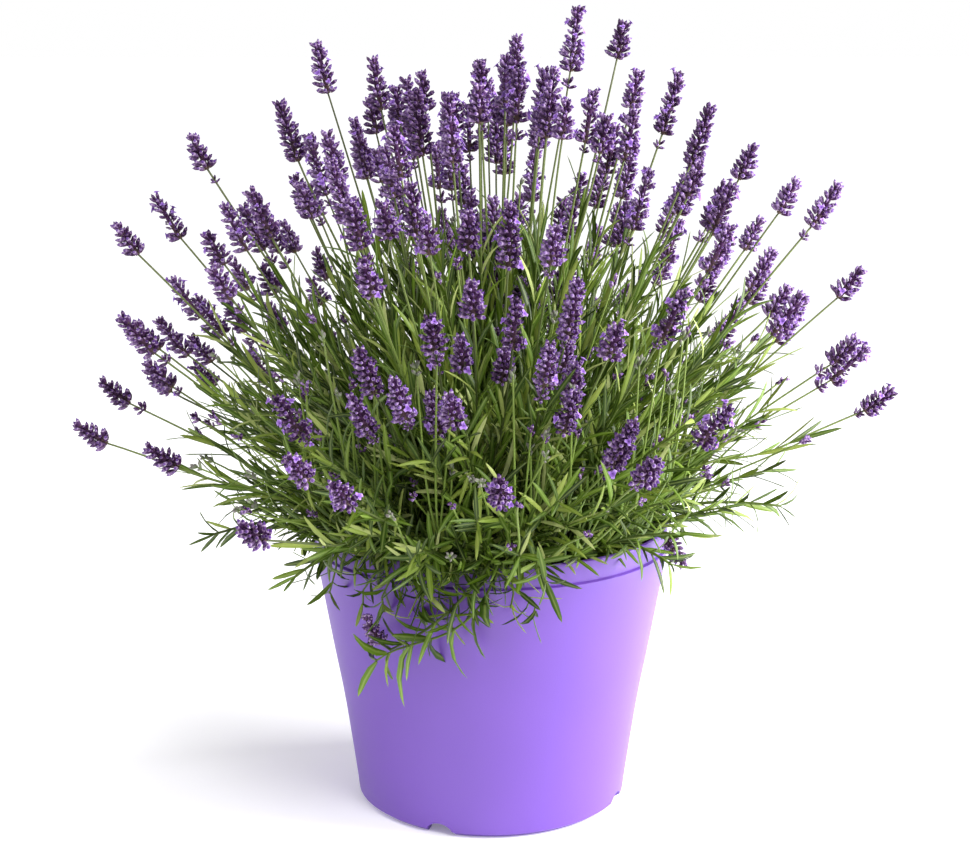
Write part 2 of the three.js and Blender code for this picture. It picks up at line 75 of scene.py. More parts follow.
# Studio: soft light from the right, a pale floor that runs out to white
studio = {
    "lights": {
        "keyLight": {"type": "SUN", "place": (0.9, -1.5, 2.0), "aim": (0, 0, 0), "energy": 1.65},
        "rightLight": {"type": "AREA", "place": (1.15, -0.05, 0.62), "aim": (0.05, 0, 0.15), "energy": 37},
        "leftLight": {"type": "AREA", "place": (-1.2, 0.35, 0.6), "aim": (-0.05, 0, 0.2), "energy": 4},
    },
    "areaSize": 0.9,
    "sunSpread": 22,  # degrees
    "sky": {"horizon": 1.0, "zenith": 0.3, "level": 0.03},  # strengths; they change above the level
    "floorSize": 60,
}


def addStudio():
    for name, light in studio["lights"].items():
        bpy.ops.object.light_add(type=light["type"], location=light["place"])
        lamp = bpy.context.object
        lamp.name = name
        lamp.data.energy = light["energy"]
        if light["type"] == "SUN":
            lamp.data.angle = math.radians(studio["sunSpread"])
        else:
            lamp.data.size = studio["areaSize"]
        aim = Vector(light["aim"]) - Vector(light["place"])
        lamp.rotation_euler = aim.to_track_quat("-Z", "Y").to_euler()
    world = bpy.data.worlds.new("whiteRoom")
    bpy.context.scene.world = world
    world.use_nodes = True
    tree = world.node_tree
    background = tree.nodes["Background"]
    background.inputs["Color"].default_value = (1, 1, 1, 1)
    place = tree.nodes.new("ShaderNodeTexCoord")
    aloft = tree.nodes.new("ShaderNodeSeparateXYZ")
    tree.links.new(place.outputs["Generated"], aloft.inputs["Vector"])
    strength = addRange(tree, aloft.outputs["Z"], *studio["sky"].values())
    tree.links.new(strength, background.inputs["Strength"])
    bpy.ops.mesh.primitive_plane_add(size=studio["floorSize"])
    floor = bpy.context.object
    floor.name = "floor"
    floor.data.materials.append(paleFloor())
    bpy.context.scene.view_settings.view_transform = "Standard"


# Colours are given as they look on screen.
def colour(text):
    parts = [int(text[i:i + 2], 16) / 255 for i in (1, 3, 5)]
    return tuple(c / 12.92 if c <= 0.04045 else ((c + 0.055) / 1.055) ** 2.4 for c in parts) + (1.0,)


def startMaterial(name):
    material = bpy.data.materials.new(name)
    material.use_nodes = True
    return material, material.node_tree, material.node_tree.nodes["Principled BSDF"]


def addNoise(tree, scale, detail=3.0):
    place = tree.nodes.new("ShaderNodeTexCoord")
    noise = tree.nodes.new("ShaderNodeTexNoise")
    noise.inputs["Scale"].default_value = scale
    noise.inputs["Detail"].default_value = detail
    tree.links.new(place.outputs["Object"], noise.inputs["Vector"])
    return noise.outputs["Fac"]


def addRamp(tree, source, stops):
    ramp = tree.nodes.new("ShaderNodeValToRGB")
    elements = ramp.color_ramp.elements
    while len(elements) < len(stops):
        elements.new(0.5)
    for element, (place, shade) in zip(elements, stops):
        element.position = place
        element.color = colour(shade)
    tree.links.new(source, ramp.inputs["Fac"])
    return ramp.outputs["Color"]


def addRange(tree, source, low, high, start=0.0):
    reach = tree.nodes.new("ShaderNodeMapRange")
    reach.inputs["From Min"].default_value = start
    reach.inputs["To Min"].default_value = low
    reach.inputs["To Max"].default_value = high
    tree.links.new(source, reach.inputs["Value"])
    return reach.outputs["Result"]


def addMix(tree, factor, a, b, blend="MIX"):
    mix = tree.nodes.new("ShaderNodeMix")
    mix.data_type = "RGBA"
    mix.blend_type = blend
    for source, socket in ((factor, mix.inputs["Factor"]), (a, mix.inputs["A"]), (b, mix.inputs["B"])):
        if isinstance(source, (float, tuple)):
            socket.default_value = source
        else:
            tree.links.new(source, socket)
    return mix.outputs["Result"]


def addBump(tree, shader, height, strength, distance):
    bump = tree.nodes.new("ShaderNodeBump")
    bump.inputs["Strength"].default_value = strength
    bump.inputs["Distance"].default_value = distance
    tree.links.new(height, bump.inputs["Height"])
    tree.links.new(bump.outputs["Normal"], shader.inputs["Normal"])


def readAttribute(tree, name):
    attribute = tree.nodes.new("ShaderNodeAttribute")
    attribute.attribute_name = name
    return attribute.outputs["Fac"]


# Colours along a form, times a shade of its own
def addShaded(tree, stops, shades):
    along = addRamp(tree, readAttribute(tree, "reach"), stops)
    tone = addRamp(tree, readAttribute(tree, "tone"), shades)
    return addMix(tree, 1.0, along, tone, "MULTIPLY")


# A pair of roughnesses follows the grain, and a single one is even.
def finishSurface(tree, shader, look, grain, roughness, specular, bump):
    tree.links.new(look, shader.inputs["Base Color"])
    if isinstance(roughness, tuple):
        tree.links.new(addRange(tree, grain, *roughness), shader.inputs["Roughness"])
    else:
        shader.inputs["Roughness"].default_value = roughness
    shader.inputs["Specular IOR Level"].default_value = specular
    addBump(tree, shader, grain, *bump)


def paleFloor():
    material, tree, shader = startMaterial("paleFloor")
    speckle = addRamp(tree, addNoise(tree, 3.0), [(0, "#F8F8F8"), (1, "#FFFFFF")])
    tree.links.new(speckle, shader.inputs["Base Color"])
    shader.inputs["Roughness"].default_value = 0.9
    shader.inputs["Specular IOR Level"].default_value = 0.1
    shader.inputs["Emission Color"].default_value = (1, 1, 1, 1)
    shader.inputs["Emission Strength"].default_value = 0.16
    return material


def purplePlastic():
    material, tree, shader = startMaterial("purplePlastic")
    cloud = addNoise(tree, 9.0, 2.0)
    grain = addNoise(tree, 900.0, 2.0)
    purple = addRamp(tree, cloud, [(0.3, "#6133A4"), (0.7, "#6839AA")])
    tree.links.new(purple, shader.inputs["Base Color"])
    tree.links.new(addRange(tree, cloud, 0.4, 0.48), shader.inputs["Roughness"])
    shader.inputs["Specular IOR Level"].default_value = 0.85
    addBump(tree, shader, grain, 0.08, 0.0004)
    return material


def darkSoil():
    material, tree, shader = startMaterial("darkSoil")
    clump = addNoise(tree, 160.0, 6.0)
    look = addRamp(tree, clump, [(0.3, "#120C08"), (0.55, "#2A1E15"), (0.75, "#4A3828")])
    finishSurface(tree, shader, look, clump, 0.95, 0.2, (0.9, 0.002))
    return material


def greyBark():
    material, tree, shader = startMaterial("greyBark")
    flakes = addNoise(tree, 420.0, 4.0)
    look = addRamp(tree, flakes, [(0.3, "#3E2F22"), (0.55, "#6B5A45"), (0.75, "#8F8068")])
    finishSurface(tree, shader, look, flakes, 0.85, 0.5, (0.6, 0.0006))
    return material


# Stems: yellow-green above, browner at the foot
def greenStem():
    material, tree, shader = startMaterial("greenStem")
    stops = [(0.0, "#443F1C"), (0.2, "#4E681C"), (0.5, "#6E8434"), (0.8, "#727E48"), (1.0, "#757B58")]
    look = addShaded(tree, stops, [(0, "#8E8E8E"), (1, "#FFFFFF")])
    finishSurface(tree, shader, look, addNoise(tree, 260.0), (0.45, 0.7), 0.3, (0.3, 0.0003))
    return material


# Leaves: a lighter midrib on greens that go from deep to yellowish
def narrowLeaf():
    material, tree, shader = startMaterial("narrowLeaf")
    stops = [(0.0, "#182A03"), (0.35, "#334E04"), (0.68, "#5A7812"), (0.86, "#87983A"), (1.0, "#B8C080")]
    blade = addRamp(tree, readAttribute(tree, "tone"), stops)
    rib = addRamp(tree, readAttribute(tree, "rib"), [(0.0, "#FFFFFF"), (0.4, "#000000")])
    mottle = addNoise(tree, 300.0)
    spotted = addMix(tree, addRange(tree, mottle, 0.0, 0.3), blade, colour("#34480C"))
    look = addMix(tree, addRange(tree, rib, 0.0, 0.3), spotted, colour("#A9B868"))
    finishSurface(tree, shader, look, mottle, (0.38, 0.58), 0.3, (0.35, 0.0003))
    return material


# Calyces: tan at the foot and deep plum above, with paler ribs that are partly the hairs' own grey and
# partly a painted highlight, a pale mouth and a violet bud in it
def violetCalyx():
    material, tree, shader = startMaterial("violetCalyx")
    stops = [
        (0.0, "#94866A"), (0.22, "#6C4672"), (0.5, "#4A265C"), (0.62, "#6E4C80"),
        (0.7, "#D2BFD8"), (0.78, "#573082"), (1.0, "#7E5CA6"),
    ]
    along = addRamp(tree, readAttribute(tree, "reach"), stops)
    # Paler ribs: the hairs' own grey colour with a painted highlight of their sheen on it
    ribAndHighlightShare = addRange(tree, readAttribute(tree, "rib"), 0.0, 0.5)
    ribbedAndHighlit = addMix(tree, ribAndHighlightShare, along, colour("#B096C2"))
    tone = readAttribute(tree, "tone")
    dark = addRamp(tree, tone, [(0, "#705C70"), (0.45, "#D0C0D4"), (0.7, "#FFFFFF")])
    deepened = addMix(tree, 1.0, ribbedAndHighlit, dark, "MULTIPLY")
    pale = addRamp(tree, tone, [(0.66, "#000000"), (0.95, "#A0A0A0")])
    look = addMix(tree, pale, deepened, colour("#A684C0"))
    finishSurface(tree, shader, look, addNoise(tree, 900.0, 2.0), (0.6, 0.85), 0.15, (0.5, 0.0003))
    return material


def lilacPetal():
    material, tree, shader = startMaterial("lilacPetal")
    stops = [(0.0, "#54307E"), (0.4, "#8C60C0"), (1.0, "#C6A6EA")]
    along = addRamp(tree, readAttribute(tree, "reach"), stops)
    vein = addNoise(tree, 700.0)
    look = addMix(tree, addRange(tree, vein, 0.0, 0.35), along, colour("#9C6CD0"))
    finishSurface(tree, shader, look, vein, 0.55, 0.2, (0.3, 0.0003))
    return material


# Unripe buds and bracts: grey-green, browner at the tip
def greyBud():
    material, tree, shader = startMaterial("greyBud")
    stops = [(0.0, "#7C8A58"), (0.5, "#94A080"), (1.0, "#8C7A86")]
    look = addShaded(tree, stops, [(0, "#9A9A9A"), (1, "#FFFFFF")])
    finishSurface(tree, shader, look, addNoise(tree, 900.0, 2.0), (0.6, 0.85), 0.5, (0.5, 0.0003))
    return material


# Repeatable draws between 0 and 1
def makeDraw(seed):
    state = [seed]

    def draw():
        state[0] = state[0] * 16807 % 2147483647
        return state[0] / 2147483647
    return draw


def between(draw, limits):
    return limits[0] + (limits[1] - limits[0]) * draw()


def smooth(t):
    c = min(1.0, max(0.0, t))
    return c * c * (3 - 2 * c)


def unit(vector):
    return vector / np.linalg.norm(vector)


def directionAt(polar, bearing):
    flat = math.sin(polar)
    return np.array([flat * math.cos(bearing), flat * math.sin(bearing), math.cos(polar)])


# The plant's layout, in millimetres, by the same rule as the solids that it stands for
layout = {
    "soilRadius": 108, "soilEdge": 168, "soilCrown": 174,
    "crownRadius": 88, "lowest": 68, "gather": 0.79,
    "rightLift": 0.15, "upright": 0.7, "bendLength": 60,
    "branches": 28, "fewest": 3, "woodPeg": 13, "woodLength": 24, "woodRadius": 2.7,
    "stalks": 224, "front": (0.22, 0.61), "frontThinning": 0.78,
    "waver": 2.0, "ringRadius": 1.5, "partTo": 115,
    "reachUp": 342, "reachDrop": 136, "share": (0.8, 0.92),
    "firstJoint": (48, 66), "secondJoint": (98, 150), "bareUnderHead": 16,
    "tries": 10, "shorten": (0.9, 1.02),
    "whorls": (1.8, 4.3), "fewerLow": 1.0, "outerRadius": (7.2, 9.2),
    "whorlStep": 8.6, "tipLength": 6.5,
    "remoteShare": 0.26, "remoteDrop": 13, "stalkRoom": 1.4, "sampleStep": 4,
    "aimSteps": 20, "aimShare": 0.7,
    "outermost": [
        (55, 10, 513), (85, 30, 503), (-112, 8, 490), (-75, -10, 481), (-19, 6, 491), (16, -10, 495),
        (-140, 30, 453), (-192, 5, 432), (-224, 40, 389), (-240, -6, 376), (-237, -30, 319), (-257, 10, 270),
        (-268, -20, 247), (-216, -60, 241), (93, 0, 473), (123, 30, 471), (141, 0, 452), (170, 20, 425),
        (192, -20, 406), (223, 0, 401), (237, -10, 348), (250, 20, 290), (269, 30, 260),
    ],
    "foremost": [
        (-72, -163, 373), (-83, -128, 404), (-62, -152, 405), (-48, -126, 413), (-38, -148, 396),
        (-14, -155, 399), (-24, -164, 379), (-12, -163, 361), (9, -165, 380), (13, -166, 350),
        (-35, -168, 342), (-75, -178, 323), (-42, -164, 319), (-56, -179, 307), (-24, -177, 299),
        (-79, -179, 297), (33, -175, 327), (59, -165, 346), (49, -163, 361), (60, -158, 385),
        (35, -159, 391), (10, -160, 404), (47, -167, 298), (71, -170, 338), (-123, -168, 293),
        (-85, -232, 260), (4, -226, 261), (109, -149, 352), (130, -196, 293), (79, -200, 284),
        (88, -222, 271), (-109, -226, 273), (-131, -253, 242),
    ],
}
shoots = {
    "count": 12, "waver": 0.3, "rootRadius": 86, "leave": 27, "droop": (100, 122),
    "bendLength": 60, "reach": (84, 122), "endLeaf": 12, "shift": 0.05, "room": 2,
}
trailing = {
    "routes": [
        [(6, -84, 170), (5, -101, 190), (1, -119, 193), (-10, -128, 179), (-30, -124, 157),
         (-52, -115, 139), (-65, -110, 134), (-75, -107, 157)],
        [(76, -44, 170), (88, -50, 189), (101, -57, 195), (109, -61, 189), (119, -64, 168)],
    ],
    "side": (0.77, 0.64, 0), "headLength": 21.7, "routeStep": 0.04,
}


def soilLevel(radius):
    drop = layout["soilCrown"] - layout["soilEdge"]
    return layout["soilCrown"] - drop * (radius / layout["soilRadius"]) ** 2


# A stem leaves the soil at one polar angle and bends to another.
def stemLine(bearing, rootRadius, leave, arrive, bendLength):
    first = directionAt(leave, bearing)
    last = directionAt(arrive, bearing)
    root = directionAt(math.pi / 2, bearing) * rootRadius
    root[2] = soilLevel(rootRadius)

    def at(s):
        if s <= 0:
            return root + first * s
        bent = bendLength * (1 - math.exp(-s / bendLength))
        return root + last * s + (first - last) * bent
    return {"at": at, "side": np.array([-math.sin(bearing), math.cos(bearing), 0])}


def crownLine(direction):
    polar = math.acos(min(1, max(-1, direction[2])))
    rootRadius = layout["crownRadius"] * polar / math.radians(layout["lowest"])
    bearing = math.atan2(direction[1], direction[0])
    return stemLine(bearing, rootRadius, polar * layout["upright"], polar, layout["bendLength"])


def frameAt(line, s):
    along = unit(line["at"](s + 1) - line["at"](s - 1))
    side = unit(line["side"] - along * line["side"].dot(along))
    return {"at": line["at"](s), "along": along, "side": side, "up": np.cross(along, side)}


def acrossAt(place, angle):
    return place["side"] * math.cos(angle) + place["up"] * math.sin(angle)


# Even directions over the dome, by the golden angle
def spread(count, lowest, gather):
    golden = math.pi * (3 - math.sqrt(5))
    made = []
    for k in range(count):
        stoop = 1 - layout["rightLift"] * max(0, math.cos(k * golden)) ** 2
        made.append(directionAt(math.radians(lowest) * stoop * ((k + 0.5) / count) ** gather, k * golden))
    return made


def turned(direction, angle, side):
    across = unit(np.array([-direction[1], direction[0], 0]))
    place = {"side": across, "up": np.cross(direction, across)}
    return direction * math.cos(angle) + acrossAt(place, side) * math.sin(angle)


# Direction and length of the crown stem whose tip is at a point
def aimAt(tip):
    centre = np.array([0, 0, layout["soilCrown"]])
    direction = unit(tip - centre)
    length = np.linalg.norm(tip - centre)
    for step in range(layout["aimSteps"]):
        miss = tip - crownLine(direction)["at"](length)
        length += miss.dot(direction)
        direction = unit(direction + miss * layout["aimShare"] / length)
    return {"direction": direction, "length": length}


def layOutStalks():
    draw = makeDraw(20260)
    made = []
    for even in spread(layout["stalks"], layout["lowest"], layout["gather"]):
        angle = math.radians(layout["waver"]) * draw()
        direction = turned(even, angle, 2 * math.pi * draw())
        slight, strong = layout["front"]
        front = smooth((-direction[1] - slight) / (strong - slight))
        thinned = draw() < layout["frontThinning"] * front
        shortest, longest = layout["share"]
        share = min(longest, shortest + (1 - shortest) * math.sqrt(draw()))
        low = math.acos(direction[2]) / math.radians(layout["lowest"])
        one = {"direction": direction, "length": (layout["reachUp"] - layout["reachDrop"] * low) * share}
        one["whorls"] = max(2, int(between(draw, layout["whorls"]) - layout["fewerLow"] * low + 0.5))
        one["outerRadius"] = between(draw, layout["outerRadius"])
        one["remote"] = draw() < layout["remoteShare"]
        one["placed"] = False
        if not thinned:
            made.append(one)
    for point in [*layout["outermost"], *layout["foremost"]]:
        aim = aimAt(np.array(point, float))
        free = [one for one in made if not one["placed"]]
        nearest = max(free, key=lambda one: one["direction"].dot(aim["direction"]))
        nearest.update(aim)
        nearest["placed"] = True
    return made


# Gathers the stalks into branches: each belongs to the branch whose direction is nearest to its own.
def layOutBranches():
    made = []
    for direction in spread(layout["branches"], layout["lowest"], layout["gather"]):
        made.append({"direction": direction, "line": crownLine(direction), "stalks": []})
    for one in layOutStalks():
        max(made, key=lambda branch: branch["direction"].dot(one["direction"]))["stalks"].append(one)
    for branch in made:
        fillUp(branch, made)
    for branch in made:
        place = frameAt(branch["line"], layout["reachUp"])

        def sideOf(one):
            return math.atan2(one["direction"].dot(place["up"]), one["direction"].dot(place["side"]))
        branch["stalks"].sort(key=sideOf)
        share = 2 * math.pi / len(branch["stalks"])
        first = sideOf(branch["stalks"][0]) - share / 2
        for i, one in enumerate(branch["stalks"]):
            angle = first + (i + 0.5) * share
            one["line"] = stalkLine(branch["line"], crownLine(one["direction"]), angle)
            one["turn"] = angle + math.pi
    return made


def fillUp(branch, made):
    while len(branch["stalks"]) < layout["fewest"]:
        givers = [other for other in made if len(other["stalks"]) > layout["fewest"] + 1]
        offered = [(giver, i) for giver in givers for i in range(len(giver["stalks"]))]
        aims = [branch["direction"].dot(giver["stalks"][i]["direction"]) for giver, i in offered]
        giver, i = offered[aims.index(max(aims))]
        branch["stalks"].append(giver["stalks"].pop(i))


# A stalk runs beside its branch's line at first, and then by itself.
def stalkLine(branchLine, ownLine, angle):
    def at(s):
        share = smooth((s - layout["woodLength"]) / (layout["partTo"] - layout["woodLength"]))
        beside = branchLine["at"](s) + acrossAt(frameAt(branchLine, s), angle) * layout["ringRadius"]
        return beside + (ownLine["at"](s) - beside) * share
    return {"at": at, "side": branchLine["side"]}


# The line as the solids have it, straight between some of its lengths
def stretches(line, lengths):
    def at(s):
        over = next(i for i, length in enumerate(lengths) if length >= s or i == len(lengths) - 1)
        high = max(1, over)
        low = lengths[high - 1]
        start = line["at"](low)
        return start + (line["at"](lengths[high]) - start) * (s - low) / (lengths[high] - low)
    return {"at": at, "side": line["side"]}


# What stands where, for stems that shorten or turn on until they are clear
taken = {"points": np.zeros((40000, 3)), "radii": np.zeros(40000), "count": 0}


def take(points, radius):
    end = taken["count"] + len(points)
    taken["points"][taken["count"]:end] = points
    taken["radii"][taken["count"]:end] = radius
    taken["count"] = end


def isFree(points, radius):
    others = taken["points"][:taken["count"]]
    reach = taken["radii"][:taken["count"]] + radius
    return all((np.linalg.norm(others - point, axis=1) > reach).all() for point in points)


def samples(line, start, end):
    count = math.ceil((end - start) / layout["sampleStep"])
    return [line["at"](start + (end - start) * i / count) for i in range(count + 1)]


def headStart(one):
    return one["length"] - one["whorls"] * layout["whorlStep"] - layout["tipLength"]


def stemEnd(one):
    return headStart(one) - (layout["remoteDrop"] if one["remote"] else 0)


def settleStalks(branches):
    draw = makeDraw(5150)
    for branch in branches:
        take(samples(branch["line"], 0, layout["woodLength"]), layout["woodRadius"])
        for one in branch["stalks"]:
            for tries in range(layout["tries"]):
                if isFree(samples(one["line"], stemEnd(one), one["length"]), one["outerRadius"]):
                    break
                one["length"] *= between(draw, layout["shorten"])
            joints = [between(draw, layout["firstJoint"]), between(draw, layout["secondJoint"])]
            joints = [s for s in joints if s < stemEnd(one) - layout["bareUnderHead"]]
            lengths = [layout["woodLength"], *joints, stemEnd(one), one["length"]]
            built = stretches(one["line"], lengths)
            take(samples(built, layout["woodLength"], stemEnd(one)), layout["stalkRoom"])
            take(samples(one["line"], stemEnd(one), one["length"]), one["outerRadius"])


def layOutShoots():
    draw = makeDraw(777)
    made = []
    for n in range(shoots["count"]):
        bearing = (n + 0.5 + shoots["waver"] * (draw() - 0.5)) * 2 * math.pi / shoots["count"]
        length = between(draw, shoots["reach"])
        arrive = math.radians(between(draw, shoots["droop"]))
        while True:
            leave = math.radians(shoots["leave"])
            line = stemLine(bearing, shoots["rootRadius"], leave, arrive, shoots["bendLength"])
            if isFree(samples(line, 0, length + shoots["endLeaf"]), shoots["room"]):
                break
            bearing += shoots["shift"]
        made.append({"line": line, "length": length})
    return made


# A point on the smooth curve from one point to the next, with a slope at either end
def hermite(a, b, slopeA, slopeB, t):
    bend = 3 * (b - a) - 2 * slopeA - slopeB
    twist = 2 * (a - b) + slopeA + slopeB
    return a + slopeA * t + bend * t ** 2 + twist * t ** 3


# A smooth line through a route's points, by its length
def routeLine(route):
    points = [np.array(point, float) for point in route]
    points = [2 * points[0] - points[1], *points, 2 * points[-1] - points[-2]]
    path = []
    for p0, p1, p2, p3 in zip(points, points[1:], points[2:], points[3:]):
        for t in np.arange(0, 1, trailing["routeStep"]):
            path.append(hermite(p1, p2, (p2 - p0) / 2, (p3 - p1) / 2, t))
    path = np.array([*path, points[-2]])
    steps = np.linalg.norm(np.diff(path, axis=0), axis=1)
    lengths = np.concatenate([[0], np.cumsum(steps)])

    def at(s):
        if s < 0:
            return path[0] + unit(path[1] - path[0]) * s
        if s > lengths[-1]:
            return path[-1] + unit(path[-1] - path[-2]) * (s - lengths[-1])
        return np.array([np.interp(s, lengths, path[:, axis]) for axis in range(3)])
    return {"line": {"at": at, "side": np.array(trailing["side"], float)}, "length": lengths[-1]}


branches = layOutBranches()
settleStalks(branches)
leafyShoots = layOutShoots()
hanging = [routeLine(route) for route in trailing["routes"]]
print("layout:", sum(len(branch["stalks"]) for branch in branches), "stalks")


# Modelling helpers
def selectOnly(obj):
    bpy.ops.object.select_all(action="DESELECT")
    obj.select_set(True)
    bpy.context.view_layer.objects.active = obj


def pickVertices(obj, test):
    bpy.ops.object.mode_set(mode="EDIT")
    bpy.ops.mesh.select_mode(type="VERT")
    bpy.ops.mesh.select_all(action="DESELECT")
    bpy.ops.object.mode_set(mode="OBJECT")
    for vertex in obj.data.vertices:
        vertex.select = test(vertex.co)
    bpy.ops.object.mode_set(mode="EDIT")


def closeEdit():
    bpy.ops.mesh.select_all(action="SELECT")
    bpy.ops.mesh.normals_make_consistent(inside=False)
    bpy.ops.object.mode_set(mode="OBJECT")


# A form grown ring by ring: each step moves the last ring and scales it about its centre.
def grow(name, sides, scale, foot, steps, pointed):
    bpy.ops.object.select_all(action="DESELECT")
    bpy.ops.mesh.primitive_circle_add(vertices=sides, radius=1, fill_type="NGON", location=foot)
    obj = bpy.context.object
    obj.name = name
    obj.scale = scale
    bpy.ops.object.transform_apply(location=True, scale=True)
    bpy.ops.object.mode_set(mode="EDIT")
    bpy.ops.mesh.select_all(action="SELECT")
    centre = Vector(foot)
    for move, scale in steps:
        bpy.ops.mesh.extrude_region_move(TRANSFORM_OT_translate={"value": move})
        centre += Vector(move)
        bpy.ops.transform.resize(value=scale, center_override=centre)
    if pointed:
        bpy.ops.mesh.merge(type="CENTER")
    closeEdit()
    return obj


# A round form on the Z axis, through pairs of radius and height
def growRings(name, sides, rings, pointed):
    radius, height = rings[0]
    steps = []
    for (lastRadius, lastHeight), (nextRadius, nextHeight) in zip(rings, rings[1:]):
        ratio = nextRadius / lastRadius
        steps.append(((0, 0, nextHeight - lastHeight), (ratio, ratio, 1)))
    return grow(name, sides, (radius, radius, 1), (0, 0, height), steps, pointed)


def inMetres(rings):
    return [(radius * mm, height * mm) for radius, height in rings]


def applyModifier(obj, kind, **settings):
    selectOnly(obj)
    bpy.ops.object.modifier_add(type=kind)
    modifier = obj.modifiers[-1]
    for name, value in settings.items():
        setattr(modifier, name, value)
    bpy.ops.object.modifier_apply(modifier=modifier.name)


def writeValues(obj, name, values):
    attribute = obj.data.attributes.get(name) or obj.data.attributes.new(name, "FLOAT", "POINT")
    attribute.data.foreach_set("value", np.clip(values, 0, 1).astype(np.float32))


def readPlaces(obj):
    places = np.zeros(len(obj.data.vertices) * 3)
    obj.data.vertices.foreach_get("co", places)
    return places.reshape(-1, 3)


# Writes how far along the form, and how far off its rib, each vertex lies
def writeReach(obj, length, halfWidth=1.0):
    places = readPlaces(obj)
    writeValues(obj, "reach", places[:, 2] / length)
    writeValues(obj, "rib", abs(places[:, 0]) / halfWidth)
    setTone(obj, 0.5)


def setTone(obj, tone, keep=0.0):
    attribute = obj.data.attributes.get("tone") or obj.data.attributes.new("tone", "FLOAT", "POINT")
    values = np.zeros(len(obj.data.vertices), np.float32)
    attribute.data.foreach_get("value", values)
    attribute.data.foreach_set("value", (values * keep + tone * (1 - keep)).astype(np.float32))


def giveMaterial(obj, material):
    selectOnly(obj)
    obj.data.materials.clear()
    obj.data.materials.append(material)


def finishForm(obj, material):
    giveMaterial(obj, material)
    bpy.ops.object.shade_smooth()
    obj.hide_render = True
    return obj


# A copy of a form with a mesh of its own, at a place in the frame
def copyForm(form, matrix, tone, keep=0.0):
    made = form.copy()
    made.data = form.data.copy()
    made.data.transform(matrix)
    made.hide_render = False
    bpy.context.collection.objects.link(made)
    setTone(made, tone, keep)
    return made


def joinAs(name, parts):
    bpy.ops.object.select_all(action="DESELECT")
    for part in parts:
        part.select_set(True)
    bpy.context.view_layer.objects.active = parts[0]
    if len(parts) > 1:
        bpy.ops.object.join()
    parts[0].name = name
    parts[0].data.name = name
    return parts[0]


# Every piece rides on the root, and most stand for a node of the solids.
def handIn(piece, node=None):
    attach(piece, "root")
    if node:
        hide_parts(node)


# A form's place, in metres: its Z along a direction and its Y towards another
def placeAt(point, along, towards, size=1.0, wide=1.0):
    z = unit(along)
    x = unit(np.cross(towards, z))
    y = np.cross(z, x)
    turn = Matrix(((x[0], y[0], z[0]), (x[1], y[1], z[1]), (x[2], y[2], z[2]))).to_4x4()
    scale = Matrix.Diagonal((size * wide, size * wide, size, 1))
    return Matrix.Translation(Vector(point) * mm) @ turn @ scale


# A direction that leans outwards by some degrees
def leaned(along, out, degrees):
    lean = math.radians(degrees)
    return along * math.cos(lean) + out * math.sin(lean)


# Leaf: a narrow blade with a ridge on either face, in three curvatures
leaf = {
    "length": 34, "width": 3.2, "thick": 0.8,
    "rings": ((0, 0.4), (0.26, 0.94), (0.6, 1.0), (0.88, 0.58)),  # shares of the length and width
    "tip": (1.0, 0.2),  # closed to a point
    "arches": (5, 20, 44),  # degrees that the tip has turned outwards
    "smoothUnder": 60,  # degrees
    "lift": 0.6, "turnJitter": 0.5, "wide": (0.8, 1.15), "shortWide": 0.4,
}


def modelLeaf(n):
    rings = [*leaf["rings"], leaf["tip"]]
    halfWidth = leaf["width"] / 2 * mm
    steps = []
    for (start, width), (end, nextWidth) in zip(rings, rings[1:]):
        angle = math.radians(leaf["arches"][n]) * (start + end) / 2
        move = Vector((0, math.sin(angle), math.cos(angle))) * (end - start) * leaf["length"] * mm
        steps.append((move, (nextWidth / width, 1, 1)))
    section = (halfWidth * rings[0][1], leaf["thick"] / 2 * mm, 1)
    obj = grow(f"leafForm{n}", 4, section, (0, 0, 0), steps, True)
    writeReach(obj, leaf["length"] * mm, halfWidth)
    finishForm(obj, materials["leaf"])
    obj.hide_render = False
    bpy.ops.object.shade_smooth_by_angle(angle=math.radians(leaf["smoothUnder"]))
    obj.hide_render = True
    return obj


# Calyx with its bud, and an open floret: profiles in millimetres
floret = {
    "calyxSides": 6,
    "calyx": ((0.45, 0), (1.0, 2.0), (1.1, 4.2)),
    "calyxLength": 6.0,
    "petalSides": 10,
    "petal": ((0.6, 0.2), (1.6, 2.7), (3.3, 2.5), (3.1, 2.8), (1.0, 2.3)),
    "petalLength": 1.6,
    "tipRadius": 0.3,  # closed to a point
    "petalRise": 2.7,
    "petalRadius": 3.3,
    "lobeDepth": 0.52,
    "lobeFrom": 2.5,
    "notch": (0.25, 0.75),  # share of a lobe's turn
}


def modelCalyx(name, material):
    tip = (floret["tipRadius"], floret["calyxLength"])
    obj = growRings(name, floret["calyxSides"], inMetres([*floret["calyx"], tip]), True)
    writeReach(obj, floret["calyxLength"] * mm)
    side = 2 * math.pi / floret["calyxSides"]
    writeValues(obj, "rib", [round(math.atan2(v.co.y, v.co.x) / side) % 2 for v in obj.data.vertices])
    return finishForm(obj, material)


def modelPetals():
    tip = (floret["tipRadius"], floret["petalLength"])
    obj = growRings("petalForm", floret["petalSides"], inMetres([*floret["petal"], tip]), True)
    lobe = 2 * math.pi / (floret["petalSides"] / 2)
    first, last = floret["notch"]

    def isNotch(co):
        turn = (math.atan2(co.y, co.x) / lobe) % 1
        return co.xy.length > floret["lobeFrom"] * mm and first < turn < last
    pickVertices(obj, isNotch)
    depth = floret["lobeDepth"]
    bpy.ops.transform.resize(value=(depth, depth, 1), center_override=(0, 0, 0))
    bpy.ops.object.mode_set(mode="OBJECT")
    writeReach(obj, floret["petalRise"] * mm)
    radius = floret["petalRadius"] * mm
    writeValues(obj, "reach", [v.co.xy.length / radius for v in obj.data.vertices])
    return finishForm(obj, materials["petal"])


